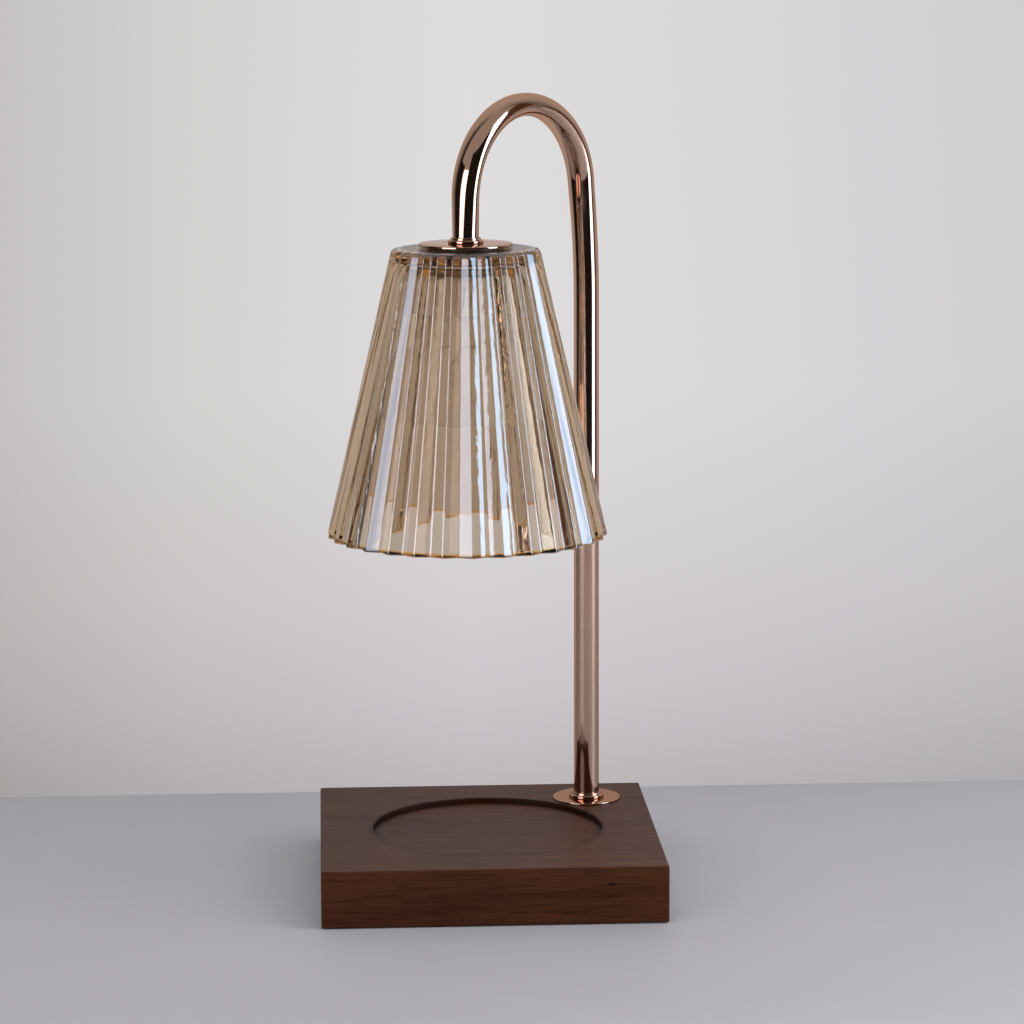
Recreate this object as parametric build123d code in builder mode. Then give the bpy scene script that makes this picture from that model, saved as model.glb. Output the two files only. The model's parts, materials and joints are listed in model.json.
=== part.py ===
from build123d import *
import os
from math import cos, radians, sin

# Candle warmer lamp: a square wooden base with a round seat for a candle jar, a plated
# swan-neck tube standing near one corner, and a pleated glass shade with a reflector bulb
# hung from its free end. The tube turns on its pillar bush, and the bulb twists in its holder.
# Frame: X to the right, Y to the back, Z up, origin under the middle of the base.

# Base block and candle seat
BASE_SIDE = 150.0
BASE_TOP = 25.4
PAD_PROUD = 0.4
EDGE_EASE = 0.8
SEAT_Y = -1.5
SEAT_RADIUS = 51.5
SEAT_DEPTH = 2.2
SEAT_EASE = 0.4

# Pole and swan neck
POLE_X = 48.2
POLE_Y = 47.9
ARM_ANGLE = 226.9
CROWN_Z = 347.0
BEND_RADIUS = 39.9
LEAN_RADIUS = 370.0
LEAN_TURN = 7.0
TUBE_RADIUS = 5.75
TUBE_BORE = 4.5
OVAL_IN_PLANE = 5.2
OVAL_ACROSS = 6.6
OVAL_RUN = 10.0
TUBE_WALL = TUBE_RADIUS - TUBE_BORE
THREAD_DEPTH = 12.0
THREAD_RADIUS = 5.0
NIPPLE_BORE = 3.5
NIPPLE_GRIP = 11.0

# Fittings under the foot of the pole
FLANGE_RADIUS = 15.5
FLANGE_THICK = 0.8
FLANGE_ROUND = 0.35
COLLAR_RADIUS = 8.0
COLLAR_HIGH = 2.4
COLLAR_ROUND = 0.7
TURN_GAP = 0.05
BUSH_CLEARANCE = 0.08
POLE_HOLE = 5.5
NUT_WELL_RADIUS = 13.5
NUT_WELL_ROOF = 20.0
NUT_FLATS = 14.0
HOLE_SLACK = 0.15

# Wiring pocket in the underside, and the steel plate that closes it
POCKET_X = 24.0
POCKET_Y = 47.0
POCKET_LONG = 80.0
POCKET_WIDE = 34.0
POCKET_CORNER = 6.0
POCKET_ROOF = 14.0
COVER_SIDE = 142.0
COVER_CORNER = 3.0
COVER_UNDER = 1.2
COVER_THICK = 1.5
COVER_SLACK = 0.3
COVER_SCREW = 64.0
PAD_PLACE = 52.0
PAD_RADIUS = 7.0
SCREW_SHANK = 1.4
SCREW_HEAD = 2.8
SCREW_TIP_Z = 11.0
SCREW_PILOT = 0.05
DRIVER_WIDE = 0.6
DRIVER_DEEP = 0.6

# Lead, terminal block and cord inlet
LEAD_RADIUS = 2.0
LEAD_SPLIT_Z = 13.25
WIRE_Z = 6.7
LEAD_TURN = 6.5
LEAD_END_X = 35.0
CORE_RADIUS = 0.85
CORE_PAIR = 0.95
BLOCK_X = 20.5
BLOCK_LONG = 17.0
BLOCK_WIDE = 15.0
BLOCK_BOTTOM = 3.2
WAY_SPACING = 4.0
INSERT_RADIUS = 2.2
INSERT_BORE = 1.3
WAY_SCREW_X = 4.0
WAY_SCREW = 1.2
WAY_SCREW_HEAD = 1.9
HEAD_SLACK = 0.2
BLOCK_SCREW = 1.15
BLOCK_SCREW_HEAD = 2.2
BLOCK_SCREW_BITE = 6.0
INLET_Z = 8.2
INLET_BORE = 2.9
INLET_NECK = 4.2
INLET_LIP = 6.0
LIP_THICK = 1.6

# Glass shade
PLEATS = 30
RIDGE_PHASE = 6.0
GLASS_BOTTOM = 160.6
GLASS_TOP = 286.7
RIDGE_BOTTOM = 61.7
RIDGE_TOP = 32.3
VALLEY_BOTTOM = 58.7
INNER_BOTTOM = 55.8
INNER_TOP = 28.4
ROOF_THICK = 5.5
SHOULDER_ROUND = 2.0
INNER_ROUND = 3.0
GLASS_HOLE = 6.0

# Clamped stack through the roof of the shade
UPPER_GASKET = 1.0
DISC_THICK = 1.2
DISC_RADIUS = 20.5
TOP_COLLAR_RADIUS = 7.7
TOP_COLLAR_HIGH = 2.5
LOWER_GASKET = 2.0
CUP_RADIUS = 20.2
CUP_DEEP = 2.6
SHEET = 1.0

# Lampholder
CAP_RADIUS = 14.5
CAP_BOTTOM = 271.0
HOLDER_RADIUS = 13.5
HOLDER_TOP = 273.0
HOLDER_FACE = 257.0
WELL_RADIUS = 9.0
WELL_FLOOR = 263.2
LIP_TOP = 259.2
PIN_CIRCLE = 5.0
TWIST = 28.0
VENT_COUNT = 12
HOLDER_SCREW_CIRCLE = 11.1

# Reflector bulb
PIN_SHANK = 1.5
PIN_HEAD = 2.5
PIN_SLACK = 0.3
BULB_SEAT = 256.8
BULB_NECK_Z = 244.8
BULB_RIM_Z = 214.8
BULB_FRONT = 211.5
BULB_RADIUS = 25.0
BULB_GLASS = 1.5

# Places worked out from the sizes above
UP = Vector(0, 0, 1)
ARM_DIR = Vector(cos(radians(ARM_ANGLE)), sin(radians(ARM_ANGLE)), 0)
ACROSS_DIR = UP.cross(ARM_DIR)
LEAN = radians(LEAN_TURN)
BEND_Z = CROWN_Z - BEND_RADIUS
NECK_Z = BEND_Z + BEND_RADIUS * sin(LEAN)
LEAN_TOP_Z = NECK_Z - OVAL_RUN * cos(LEAN)
LEAN_Z = LEAN_TOP_Z - LEAN_RADIUS * sin(LEAN)
LEAN_TOP_OUT = LEAN_RADIUS * (1 - cos(LEAN))
NECK_OUT = LEAN_TOP_OUT + OVAL_RUN * sin(LEAN)
BEND_OUT = NECK_OUT + BEND_RADIUS * cos(LEAN)
ARM_REACH = BEND_OUT + BEND_RADIUS
SHADE_X = POLE_X + ARM_REACH * ARM_DIR.X
SHADE_Y = POLE_Y + ARM_REACH * ARM_DIR.Y
FOOT_Z = BASE_TOP + FLANGE_THICK + TURN_GAP
ROOF_UNDER = GLASS_TOP - ROOF_THICK
DISC_UNDER = GLASS_TOP + UPPER_GASKET
DISC_TOP = DISC_UNDER + DISC_THICK
CUP_TOP = ROOF_UNDER - LOWER_GASKET
CAP_TOP = CUP_TOP - SHEET
COVER_TOP = COVER_UNDER + COVER_THICK
VALLEY_TOP = VALLEY_BOTTOM * RIDGE_TOP / RIDGE_BOTTOM

os.makedirs("parts", exist_ok=True)


def on_arm(out, height):
    """Point in the arm's upright plane, so far out from the pole's axis."""
    return Vector(POLE_X, POLE_Y, height) + ARM_DIR * out


def arm_plane(out, height, lean=0):
    """Plane across the arm with its X outwards: level, or tipped where the arm leans."""
    outwards = ARM_DIR * cos(lean) - UP * sin(lean)
    along = ARM_DIR * sin(lean) + UP * cos(lean)
    return Plane(origin=on_arm(out, height), x_dir=outwards, z_dir=along)


def pole_plane(height):
    """Level plane on the pole's axis."""
    return arm_plane(0, height)


def neck_end_plane(height):
    """Level plane on the shade's axis, with its X along the arm."""
    return arm_plane(ARM_REACH, height)


def shade_plane(height):
    """Level plane on the shade's axis, square to the base."""
    return Plane(origin=(SHADE_X, SHADE_Y, height))


def shade_section():
    """Upright plane through the shade's axis: local X is the radius, local Y the height."""
    return Plane(origin=(SHADE_X, SHADE_Y, 0), x_dir=(1, 0, 0), z_dir=(0, -1, 0))


SHADE_AXIS = Axis((SHADE_X, SHADE_Y, 0), (0, 0, 1))


def finish(builder, name):
    """Labels a finished piece and writes it."""
    builder.part.label = name
    export_step(builder.part, f"parts/{name}.step")


def ring(plane, outer, inner, height):
    """Flat ring standing up from a plane."""
    with BuildSketch(plane) as profile:
        Circle(outer)
        Circle(inner, mode=Mode.SUBTRACT)
    extrude(profile.sketch, amount=height)


def corners(spacing):
    """Four places on a square round the middle of the base."""
    return GridLocations(spacing, spacing, 2, 2)


# ---------------------------------------------------------------- base
# One block of hardwood, with the candle seat turned into its top and the wiring pocket
# routed into its underside.
with BuildPart() as base_block:
    with BuildSketch(Plane.XY.offset(PAD_PROUD)):
        Rectangle(BASE_SIDE, BASE_SIDE)
    extrude(amount=BASE_TOP - PAD_PROUD)
    fillet(base_block.edges(), EDGE_EASE)
    with BuildSketch(Plane.XY.offset(BASE_TOP - SEAT_DEPTH)):
        with Locations((0, SEAT_Y)):
            Circle(SEAT_RADIUS)
    extrude(amount=SEAT_DEPTH, mode=Mode.SUBTRACT)
    seat_rim = base_block.edges().filter_by(GeomType.CIRCLE).group_by(Axis.Z)[-1]
    chamfer(seat_rim.filter_by(lambda edge: edge.radius > SEAT_RADIUS - 1), SEAT_EASE)
    with BuildSketch(Plane.XY.offset(PAD_PROUD)):
        RectangleRounded(
            COVER_SIDE + 2 * COVER_SLACK, COVER_SIDE + 2 * COVER_SLACK, COVER_CORNER
        )
    extrude(amount=COVER_TOP - PAD_PROUD, mode=Mode.SUBTRACT)
    with BuildSketch(Plane.XY.offset(COVER_TOP)):
        with Locations((POCKET_X, POCKET_Y)):
            RectangleRounded(POCKET_LONG, POCKET_WIDE, POCKET_CORNER)
    extrude(amount=POCKET_ROOF - COVER_TOP, mode=Mode.SUBTRACT)
    with BuildSketch(pole_plane(COVER_TOP)):
        Circle(NUT_WELL_RADIUS)
    extrude(amount=NUT_WELL_ROOF - COVER_TOP, mode=Mode.SUBTRACT)
    with BuildSketch(pole_plane(NUT_WELL_ROOF)):
        Circle(POLE_HOLE)
    extrude(amount=BASE_TOP - NUT_WELL_ROOF, mode=Mode.SUBTRACT)
    with BuildSketch(Plane.XY.offset(COVER_TOP)):
        with corners(2 * COVER_SCREW):
            Circle(SCREW_SHANK + SCREW_PILOT)
    extrude(amount=SCREW_TIP_Z + 1 - COVER_TOP, mode=Mode.SUBTRACT)
    with BuildSketch(Plane.XY.offset(POCKET_ROOF)):
        with Locations((BLOCK_X, POLE_Y)):
            Circle(BLOCK_SCREW + SCREW_PILOT)
    extrude(amount=BLOCK_SCREW_BITE + 0.5, mode=Mode.SUBTRACT)
    with BuildSketch(Plane(origin=(0, BASE_SIDE / 2, INLET_Z), z_dir=(0, -1, 0))):
        Circle(INLET_NECK)
    extrude(amount=BASE_SIDE / 2 - POCKET_Y - POCKET_WIDE / 2, mode=Mode.SUBTRACT)
    with BuildSketch(Plane(origin=(0, BASE_SIDE / 2, INLET_Z), z_dir=(0, -1, 0))):
        Circle(INLET_LIP + HEAD_SLACK)
    extrude(amount=LIP_THICK, mode=Mode.SUBTRACT)
finish(base_block, "base_block")

# Four rubber pads stuck to the steel plate.
with BuildPart() as foot_pads:
    with BuildSketch(Plane.XY):
        with corners(2 * PAD_PLACE):
            Circle(PAD_RADIUS)
    extrude(amount=COVER_UNDER)
    chamfer(foot_pads.edges().group_by(Axis.Z)[0], 0.2)
finish(foot_pads, "foot_pads")

# Steel plate sunk into the underside: it closes the wiring pocket and weights the base.
with BuildPart() as base_cover:
    with BuildSketch(Plane.XY.offset(COVER_UNDER)):
        RectangleRounded(COVER_SIDE, COVER_SIDE, COVER_CORNER)
    extrude(amount=COVER_THICK)
    with Locations(Plane(origin=(0, 0, COVER_UNDER), z_dir=(0, 0, -1))):
        with corners(2 * COVER_SCREW):
            CounterSinkHole(SCREW_SHANK + 0.1, SCREW_HEAD + 0.1, COVER_THICK, 90)
finish(base_cover, "base_cover")

# Four countersunk wood screws that hold the plate.
with BuildPart() as cover_screws:
    with BuildSketch(Plane.XY.offset(COVER_UNDER)):
        with corners(2 * COVER_SCREW):
            Circle(SCREW_HEAD)
    extrude(amount=SCREW_HEAD - SCREW_SHANK, taper=45)
    with BuildSketch(Plane.XY.offset(COVER_UNDER)):
        with corners(2 * COVER_SCREW):
            Circle(SCREW_SHANK)
    extrude(amount=SCREW_TIP_Z - COVER_UNDER)
    with BuildSketch(Plane.XY.offset(COVER_UNDER)):
        with corners(2 * COVER_SCREW):
            Rectangle(1.2 * SCREW_HEAD, DRIVER_WIDE)
            Rectangle(DRIVER_WIDE, 1.2 * SCREW_HEAD)
    extrude(amount=DRIVER_DEEP, mode=Mode.SUBTRACT)
finish(cover_screws, "cover_screws")

# Rubber grommet in the back edge, through which a supply cord comes in.
with BuildPart() as cord_grommet:
    inlet_section = Plane(origin=(0, 0, INLET_Z), x_dir=(0, 1, 0), z_dir=(1, 0, 0))
    inner_y = POCKET_Y + POCKET_WIDE / 2
    inner_lip = INLET_NECK + 1.2
    outer_y = BASE_SIDE / 2 - 0.1
    lip_y = BASE_SIDE / 2 - LIP_THICK
    with BuildSketch(inlet_section):
        with BuildLine():
            Polyline(
                (inner_y - LIP_THICK, INLET_BORE),
                (inner_y - LIP_THICK, inner_lip),
                (inner_y, inner_lip),
                (inner_y, INLET_NECK),
                (lip_y, INLET_NECK),
                (lip_y, INLET_LIP),
                (outer_y, INLET_LIP),
                (outer_y, INLET_BORE),
                close=True,
            )
        make_face()
    revolve(axis=Axis((0, 0, INLET_Z), (0, 1, 0)))
    fillet(cord_grommet.edges().group_by(Axis.Y)[-1], 0.4)
finish(cord_grommet, "cord_grommet")

# ---------------------------------------------------------------- wiring in the base
def along_x(distance):
    """Upright plane square to X at the height of the wires: its own X runs along Y."""
    return Plane(origin=(distance, POLE_Y, WIRE_Z), x_dir=(0, 1, 0), z_dir=(1, 0, 0))


# Two-way terminal block on the roof of the pocket, where the supply cord is joined.
BLOCK_HEAD_THICK = 1.2
with BuildPart() as terminal_block:
    with BuildSketch(Plane.XY.offset(BLOCK_BOTTOM)):
        with Locations((BLOCK_X, POLE_Y)):
            RectangleRounded(BLOCK_LONG, BLOCK_WIDE, 1.2)
    extrude(amount=POCKET_ROOF - BLOCK_BOTTOM)
    with BuildSketch(along_x(BLOCK_X - BLOCK_LONG / 2)):
        with GridLocations(2 * WAY_SPACING, 2 * WAY_SPACING, 2, 1):
            Circle(INSERT_RADIUS)
    extrude(amount=BLOCK_LONG, mode=Mode.SUBTRACT)
    with BuildSketch(Plane.XY.offset(BLOCK_BOTTOM)):
        with Locations((BLOCK_X, POLE_Y)):
            with GridLocations(2 * WAY_SCREW_X, 2 * WAY_SPACING, 2, 2):
                Circle(WAY_SCREW_HEAD + HEAD_SLACK)
    extrude(amount=WIRE_Z - BLOCK_BOTTOM, mode=Mode.SUBTRACT)
    with Locations(Plane(origin=(BLOCK_X, POLE_Y, BLOCK_BOTTOM), z_dir=(0, 0, -1))):
        CounterBoreHole(
            BLOCK_SCREW + 0.1, BLOCK_SCREW_HEAD + 0.1, BLOCK_HEAD_THICK, POCKET_ROOF - BLOCK_BOTTOM
        )
finish(terminal_block, "terminal_block")

# Brass inserts of the terminal block, one for each way.
INSERT_LONG = 15.0
with BuildPart() as terminal_inserts:
    with BuildSketch(along_x(BLOCK_X - INSERT_LONG / 2)):
        with GridLocations(2 * WAY_SPACING, 2 * WAY_SPACING, 2, 1):
            Circle(INSERT_RADIUS)
            Circle(INSERT_BORE, mode=Mode.SUBTRACT)
    extrude(amount=INSERT_LONG)
    with BuildSketch(Plane.XY.offset(BLOCK_BOTTOM)):
        with Locations((BLOCK_X, POLE_Y)):
            with GridLocations(2 * WAY_SCREW_X, 2 * WAY_SPACING, 2, 2):
                Circle(WAY_SCREW)
    extrude(amount=WIRE_Z - 0.3 - BLOCK_BOTTOM, mode=Mode.SUBTRACT)
finish(terminal_inserts, "terminal_inserts")

# Clamping screws of the terminal block: two for each way.
WAY_SCREW_Z = BLOCK_BOTTOM + 0.1
WAY_HEAD_THICK = 1.1
with BuildPart() as terminal_screws:
    with BuildSketch(Plane.XY.offset(WAY_SCREW_Z)):
        with Locations((BLOCK_X, POLE_Y)):
            with GridLocations(2 * WAY_SCREW_X, 2 * WAY_SPACING, 2, 2):
                Circle(WAY_SCREW_HEAD)
    extrude(amount=WAY_HEAD_THICK)
    with BuildSketch(Plane.XY.offset(WAY_SCREW_Z)):
        with Locations((BLOCK_X, POLE_Y)):
            with GridLocations(2 * WAY_SCREW_X, 2 * WAY_SPACING, 2, 2):
                Circle(WAY_SCREW)
    extrude(amount=WIRE_Z - CORE_RADIUS - WAY_SCREW_Z)
    with BuildSketch(Plane.XY.offset(WAY_SCREW_Z)):
        with Locations((BLOCK_X, POLE_Y)):
            with GridLocations(2 * WAY_SCREW_X, 2 * WAY_SPACING, 2, 2):
                Rectangle(2 * WAY_SCREW_HEAD, DRIVER_WIDE)
    extrude(amount=DRIVER_DEEP, mode=Mode.SUBTRACT)
finish(terminal_screws, "terminal_screws")

# Screw that fixes the terminal block to the wood.
with BuildPart() as block_screw:
    with BuildSketch(Plane.XY.offset(BLOCK_BOTTOM)):
        with Locations((BLOCK_X, POLE_Y)):
            Circle(BLOCK_SCREW_HEAD)
    extrude(amount=BLOCK_HEAD_THICK)
    with BuildSketch(Plane.XY.offset(BLOCK_BOTTOM)):
        with Locations((BLOCK_X, POLE_Y)):
            Circle(BLOCK_SCREW)
    extrude(amount=POCKET_ROOF + BLOCK_SCREW_BITE - BLOCK_BOTTOM)
    with BuildSketch(Plane.XY.offset(BLOCK_BOTTOM)):
        with Locations((BLOCK_X, POLE_Y)):
            Rectangle(1.4 * BLOCK_SCREW_HEAD, DRIVER_WIDE)
            Rectangle(DRIVER_WIDE, 1.4 * BLOCK_SCREW_HEAD)
    extrude(amount=DRIVER_DEEP, mode=Mode.SUBTRACT)
finish(block_screw, "block_screw")

# Sleeved lead from under the pole to the terminal block: down, one turn, then level.
with BuildPart() as base_lead:
    with BuildLine() as base_lead_path:
        FilletPolyline(
            (POLE_X, POLE_Y, LEAD_SPLIT_Z),
            (POLE_X, POLE_Y, WIRE_Z),
            (LEAD_END_X, POLE_Y, WIRE_Z),
            radius=LEAD_TURN,
        )
    with BuildSketch(Plane(origin=base_lead_path.line @ 0, z_dir=base_lead_path.line % 0)):
        Circle(LEAD_RADIUS)
    sweep()
finish(base_lead, "base_lead")

# The lead's two cores, spread from the end of the sleeve into the two ways.
SPREAD_START_X = LEAD_END_X - 2.0
SPREAD_END_X = LEAD_END_X - 6.2
SPREAD_RADII = [2.7, 7.0]
CORE_BITE = 1.0
with BuildPart() as base_cores:
    for side in (-1, 1):
        with BuildLine() as core_path:
            FilletPolyline(
                (LEAD_END_X, POLE_Y + side * CORE_PAIR, WIRE_Z),
                (SPREAD_START_X, POLE_Y + side * CORE_PAIR, WIRE_Z),
                (SPREAD_END_X, POLE_Y + side * WAY_SPACING, WIRE_Z),
                (BLOCK_X + CORE_BITE, POLE_Y + side * WAY_SPACING, WIRE_Z),
                radius=SPREAD_RADII,
            )
        with BuildSketch(Plane(origin=core_path.line @ 0, z_dir=core_path.line % 0)):
            Circle(CORE_RADIUS)
        sweep()
finish(base_cores, "base_cores")

# ---------------------------------------------------------------- foot of the pole
# Plated disc on the wood, the fixed bearing face and hole that the arm turns in.
with BuildPart() as arm_flange:
    ring(pole_plane(BASE_TOP), FLANGE_RADIUS, THREAD_RADIUS + BUSH_CLEARANCE, FLANGE_THICK)
    outer_edge = arm_flange.edges().group_by(Axis.Z)[-1].sort_by(SortBy.RADIUS)[-1]
    fillet(outer_edge, FLANGE_ROUND)
finish(arm_flange, "arm_flange")

# Collar pressed on the foot of the tube, turning on the flange with the arm.
with BuildPart() as pole_collar:
    ring(pole_plane(FOOT_Z), COLLAR_RADIUS, TUBE_RADIUS, COLLAR_HIGH)
    collar_rims = pole_collar.edges().filter_by(GeomType.CIRCLE)
    fillet(collar_rims.filter_by(lambda edge: edge.radius > TUBE_RADIUS + 1), COLLAR_ROUND)
finish(pole_collar, "pole_collar")

# Threaded bush screwed into the tube, passing down through the wood: the arm's pivot.
NIPPLE_FOOT = LEAD_SPLIT_Z + 0.05
NIPPLE_LONG = FOOT_Z + NIPPLE_GRIP - NIPPLE_FOOT
with BuildPart() as pole_nipple:
    ring(pole_plane(NIPPLE_FOOT), THREAD_RADIUS, NIPPLE_BORE, NIPPLE_LONG)
finish(pole_nipple, "pole_nipple")

# Large plain washer against the wood.
PLAIN_WASHER = 1.5
PLAIN_RADIUS = 12.0
PLAIN_HOLE = THREAD_RADIUS + 2 * HOLE_SLACK
with BuildPart() as pole_washer:
    ring(pole_plane(NUT_WELL_ROOF - PLAIN_WASHER), PLAIN_RADIUS, PLAIN_HOLE, PLAIN_WASHER)
finish(pole_washer, "pole_washer")

# Split spring washer that keeps the pivot stiff to turn.
SPRING_WASHER = 1.6
SPRING_RADIUS = 8.6
SPRING_MID = (SPRING_RADIUS + THREAD_RADIUS) / 2
SPRING_SPLIT = 1.2
SPRING_WASHER_Z = NUT_WELL_ROOF - PLAIN_WASHER - TURN_GAP - SPRING_WASHER
with BuildPart() as spring_washer:
    ring(
        pole_plane(SPRING_WASHER_Z), SPRING_RADIUS, THREAD_RADIUS + HOLE_SLACK, SPRING_WASHER
    )
    with BuildSketch(pole_plane(SPRING_WASHER_Z)):
        with Locations((SPRING_MID, 0)):
            Rectangle(SPRING_MID, SPRING_SPLIT, rotation=20)
    extrude(amount=SPRING_WASHER, mode=Mode.SUBTRACT)
finish(spring_washer, "spring_washer")

# Thin hexagon nut under the washers.
POLE_NUT = 3.2
with BuildPart() as pole_nut:
    with BuildSketch(pole_plane(SPRING_WASHER_Z - POLE_NUT)):
        RegularPolygon(NUT_FLATS / 2, 6, major_radius=False)
        Circle(THREAD_RADIUS, mode=Mode.SUBTRACT)
    extrude(amount=POLE_NUT)
finish(pole_nut, "pole_nut")


# ---------------------------------------------------------------- swan neck
def swan_neck(straight, in_plane, across, foot_z, end_z, mode):
    """Adds or cuts one skin of the arm: pole, lean, easing to oval, bend, easing back, drop."""
    with BuildSketch(pole_plane(foot_z)) as pole_foot:
        Circle(straight)
    extrude(pole_foot.sketch, amount=LEAN_Z - foot_z, mode=mode)
    with BuildSketch(pole_plane(LEAN_Z)) as lean_foot:
        Circle(straight)
    lean_axis = Axis(on_arm(LEAN_RADIUS, LEAN_Z), ACROSS_DIR)
    revolve(lean_foot.sketch, axis=lean_axis, revolution_arc=LEAN_TURN, mode=mode)
    with BuildSketch(arm_plane(LEAN_TOP_OUT, LEAN_TOP_Z, LEAN)) as lean_top:
        Circle(straight)
    with BuildSketch(arm_plane(NECK_OUT, NECK_Z, LEAN)) as neck_oval:
        Ellipse(in_plane, across)
    loft([lean_top.sketch, neck_oval.sketch], mode=mode)
    bend_axis = Axis(on_arm(BEND_OUT, BEND_Z), ACROSS_DIR)
    revolve(neck_oval.sketch, axis=bend_axis, revolution_arc=180 - LEAN_TURN, mode=mode)
    with BuildSketch(neck_end_plane(BEND_Z - OVAL_RUN)) as drop_round:
        Circle(straight)
    with BuildSketch(neck_end_plane(BEND_Z)) as drop_oval:
        Ellipse(in_plane, across)
    loft([drop_round.sketch, drop_oval.sketch], mode=mode)
    with BuildSketch(neck_end_plane(end_z)) as drop_end:
        Circle(straight)
    extrude(drop_end.sketch, amount=BEND_Z - OVAL_RUN - end_z, mode=mode)


# Plated steel tube, bent cold so that the bend is a little flat, with a thread in each end.
with BuildPart() as arm_tube:
    swan_neck(TUBE_RADIUS, OVAL_IN_PLANE, OVAL_ACROSS, FOOT_Z, DISC_TOP, Mode.ADD)
    swan_neck(
        TUBE_BORE,
        OVAL_IN_PLANE - TUBE_WALL,
        OVAL_ACROSS - TUBE_WALL,
        FOOT_Z,
        DISC_TOP,
        Mode.SUBTRACT,
    )
    with BuildSketch(pole_plane(FOOT_Z)):
        Circle(THREAD_RADIUS)
    extrude(amount=THREAD_DEPTH, mode=Mode.SUBTRACT)
    with BuildSketch(neck_end_plane(DISC_TOP)):
        Circle(THREAD_RADIUS)
    extrude(amount=THREAD_DEPTH / 2, mode=Mode.SUBTRACT)
finish(arm_tube, "arm_tube")

# Sleeved lead through the arm, from the pivot to the lampholder.
HOLDER_LEAD_Z = 270.5
with BuildPart() as arm_lead:
    with BuildLine() as arm_lead_path:
        lean_foot = on_arm(0, LEAN_Z)
        lean_rise = LEAN_RADIUS * sin(LEAN / 2)
        lean_middle = on_arm(LEAN_RADIUS * (1 - cos(LEAN / 2)), LEAN_Z + lean_rise)
        lean_top = on_arm(LEAN_TOP_OUT, LEAN_TOP_Z)
        neck = on_arm(NECK_OUT, NECK_Z)
        bend_end = on_arm(ARM_REACH, BEND_Z)
        Line(on_arm(0, LEAD_SPLIT_Z), lean_foot)
        ThreePointArc(lean_foot, lean_middle, lean_top)
        Line(lean_top, neck)
        ThreePointArc(neck, on_arm(BEND_OUT, CROWN_Z), bend_end)
        Line(bend_end, on_arm(ARM_REACH, HOLDER_LEAD_Z))
    with BuildSketch(pole_plane(LEAD_SPLIT_Z)):
        Circle(LEAD_RADIUS)
    sweep()
finish(arm_lead, "arm_lead")

# ---------------------------------------------------------------- shade and its clamp
# Plated collar round the end of the tube.
with BuildPart() as shade_collar:
    ring(neck_end_plane(DISC_TOP), TOP_COLLAR_RADIUS, TUBE_RADIUS, TOP_COLLAR_HIGH)
    collar_rims = shade_collar.edges().filter_by(GeomType.CIRCLE)
    fillet(collar_rims.filter_by(lambda edge: edge.radius > TUBE_RADIUS + 1), COLLAR_ROUND)
finish(shade_collar, "shade_collar")

# Plated disc that bears on the glass through a soft ring.
with BuildPart() as shade_disc:
    ring(neck_end_plane(DISC_UNDER), DISC_RADIUS, THREAD_RADIUS + HOLE_SLACK, DISC_THICK)
    outer_edge = shade_disc.edges().group_by(Axis.Z)[-1].sort_by(SortBy.RADIUS)[-1]
    fillet(outer_edge, FLANGE_ROUND)
finish(shade_disc, "shade_disc")

# Soft rings above and below the glass, a little smaller than the metal that presses them.
GASKET_RADIUS = 16.5
GASKET_HOLE = THREAD_RADIUS + 0.4
with BuildPart() as upper_gasket:
    ring(neck_end_plane(GLASS_TOP), GASKET_RADIUS, GASKET_HOLE, UPPER_GASKET)
finish(upper_gasket, "upper_gasket")


def pleated_outline(ridge, valley):
    """Closed zigzag of alternate ridge and valley points round the shade's axis."""
    step = 180 / PLEATS
    points = []
    for turn in range(2 * PLEATS):
        radius = ridge if turn % 2 == 0 else valley
        angle = radians(RIDGE_PHASE + turn * step)
        points.append((radius * cos(angle), radius * sin(angle)))
    return points


# Pressed glass shade: V pleats outside, a smooth cone inside and a thick flat roof.
with BuildPart() as glass_shade:
    with BuildSketch(shade_plane(GLASS_BOTTOM)):
        with BuildLine():
            Polyline(*pleated_outline(RIDGE_BOTTOM, VALLEY_BOTTOM), close=True)
        make_face()
    with BuildSketch(shade_plane(GLASS_TOP)):
        with BuildLine():
            Polyline(*pleated_outline(RIDGE_TOP, VALLEY_TOP), close=True)
        make_face()
    loft(ruled=True)
    with BuildSketch(shade_section()) as shoulder:
        with BuildLine():
            Polyline(
                (0, GLASS_BOTTOM),
                (RIDGE_BOTTOM + 0.1, GLASS_BOTTOM),
                (RIDGE_TOP + 0.1, GLASS_TOP),
                (0, GLASS_TOP),
                close=True,
            )
        make_face()
        fillet(shoulder.vertices().group_by(Axis.Y)[-1].sort_by(Axis.X)[-1], SHOULDER_ROUND)
    revolve(axis=SHADE_AXIS, mode=Mode.INTERSECT)
    with BuildSketch(shade_section()) as inside:
        with BuildLine():
            Polyline(
                (0, GLASS_BOTTOM),
                (INNER_BOTTOM, GLASS_BOTTOM),
                (INNER_TOP, ROOF_UNDER),
                (0, ROOF_UNDER),
                close=True,
            )
        make_face()
        fillet(inside.vertices().group_by(Axis.Y)[-1].sort_by(Axis.X)[-1], INNER_ROUND)
    revolve(axis=SHADE_AXIS, mode=Mode.SUBTRACT)
    with BuildSketch(shade_plane(ROOF_UNDER)):
        Circle(GLASS_HOLE)
    extrude(amount=ROOF_THICK, mode=Mode.SUBTRACT)
finish(glass_shade, "glass_shade")

with BuildPart() as lower_gasket:
    ring(neck_end_plane(CUP_TOP), GASKET_RADIUS, GASKET_HOLE, LOWER_GASKET)
finish(lower_gasket, "lower_gasket")

# Shallow pressed cup that clamps the glass from below.
with BuildPart() as clamp_cup:
    ring(neck_end_plane(CUP_TOP - SHEET), CUP_RADIUS, THREAD_RADIUS + HOLE_SLACK, SHEET)
    ring(neck_end_plane(CUP_TOP - CUP_DEEP), CUP_RADIUS, CUP_RADIUS - SHEET, CUP_DEEP - SHEET)
finish(clamp_cup, "clamp_cup")

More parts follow.
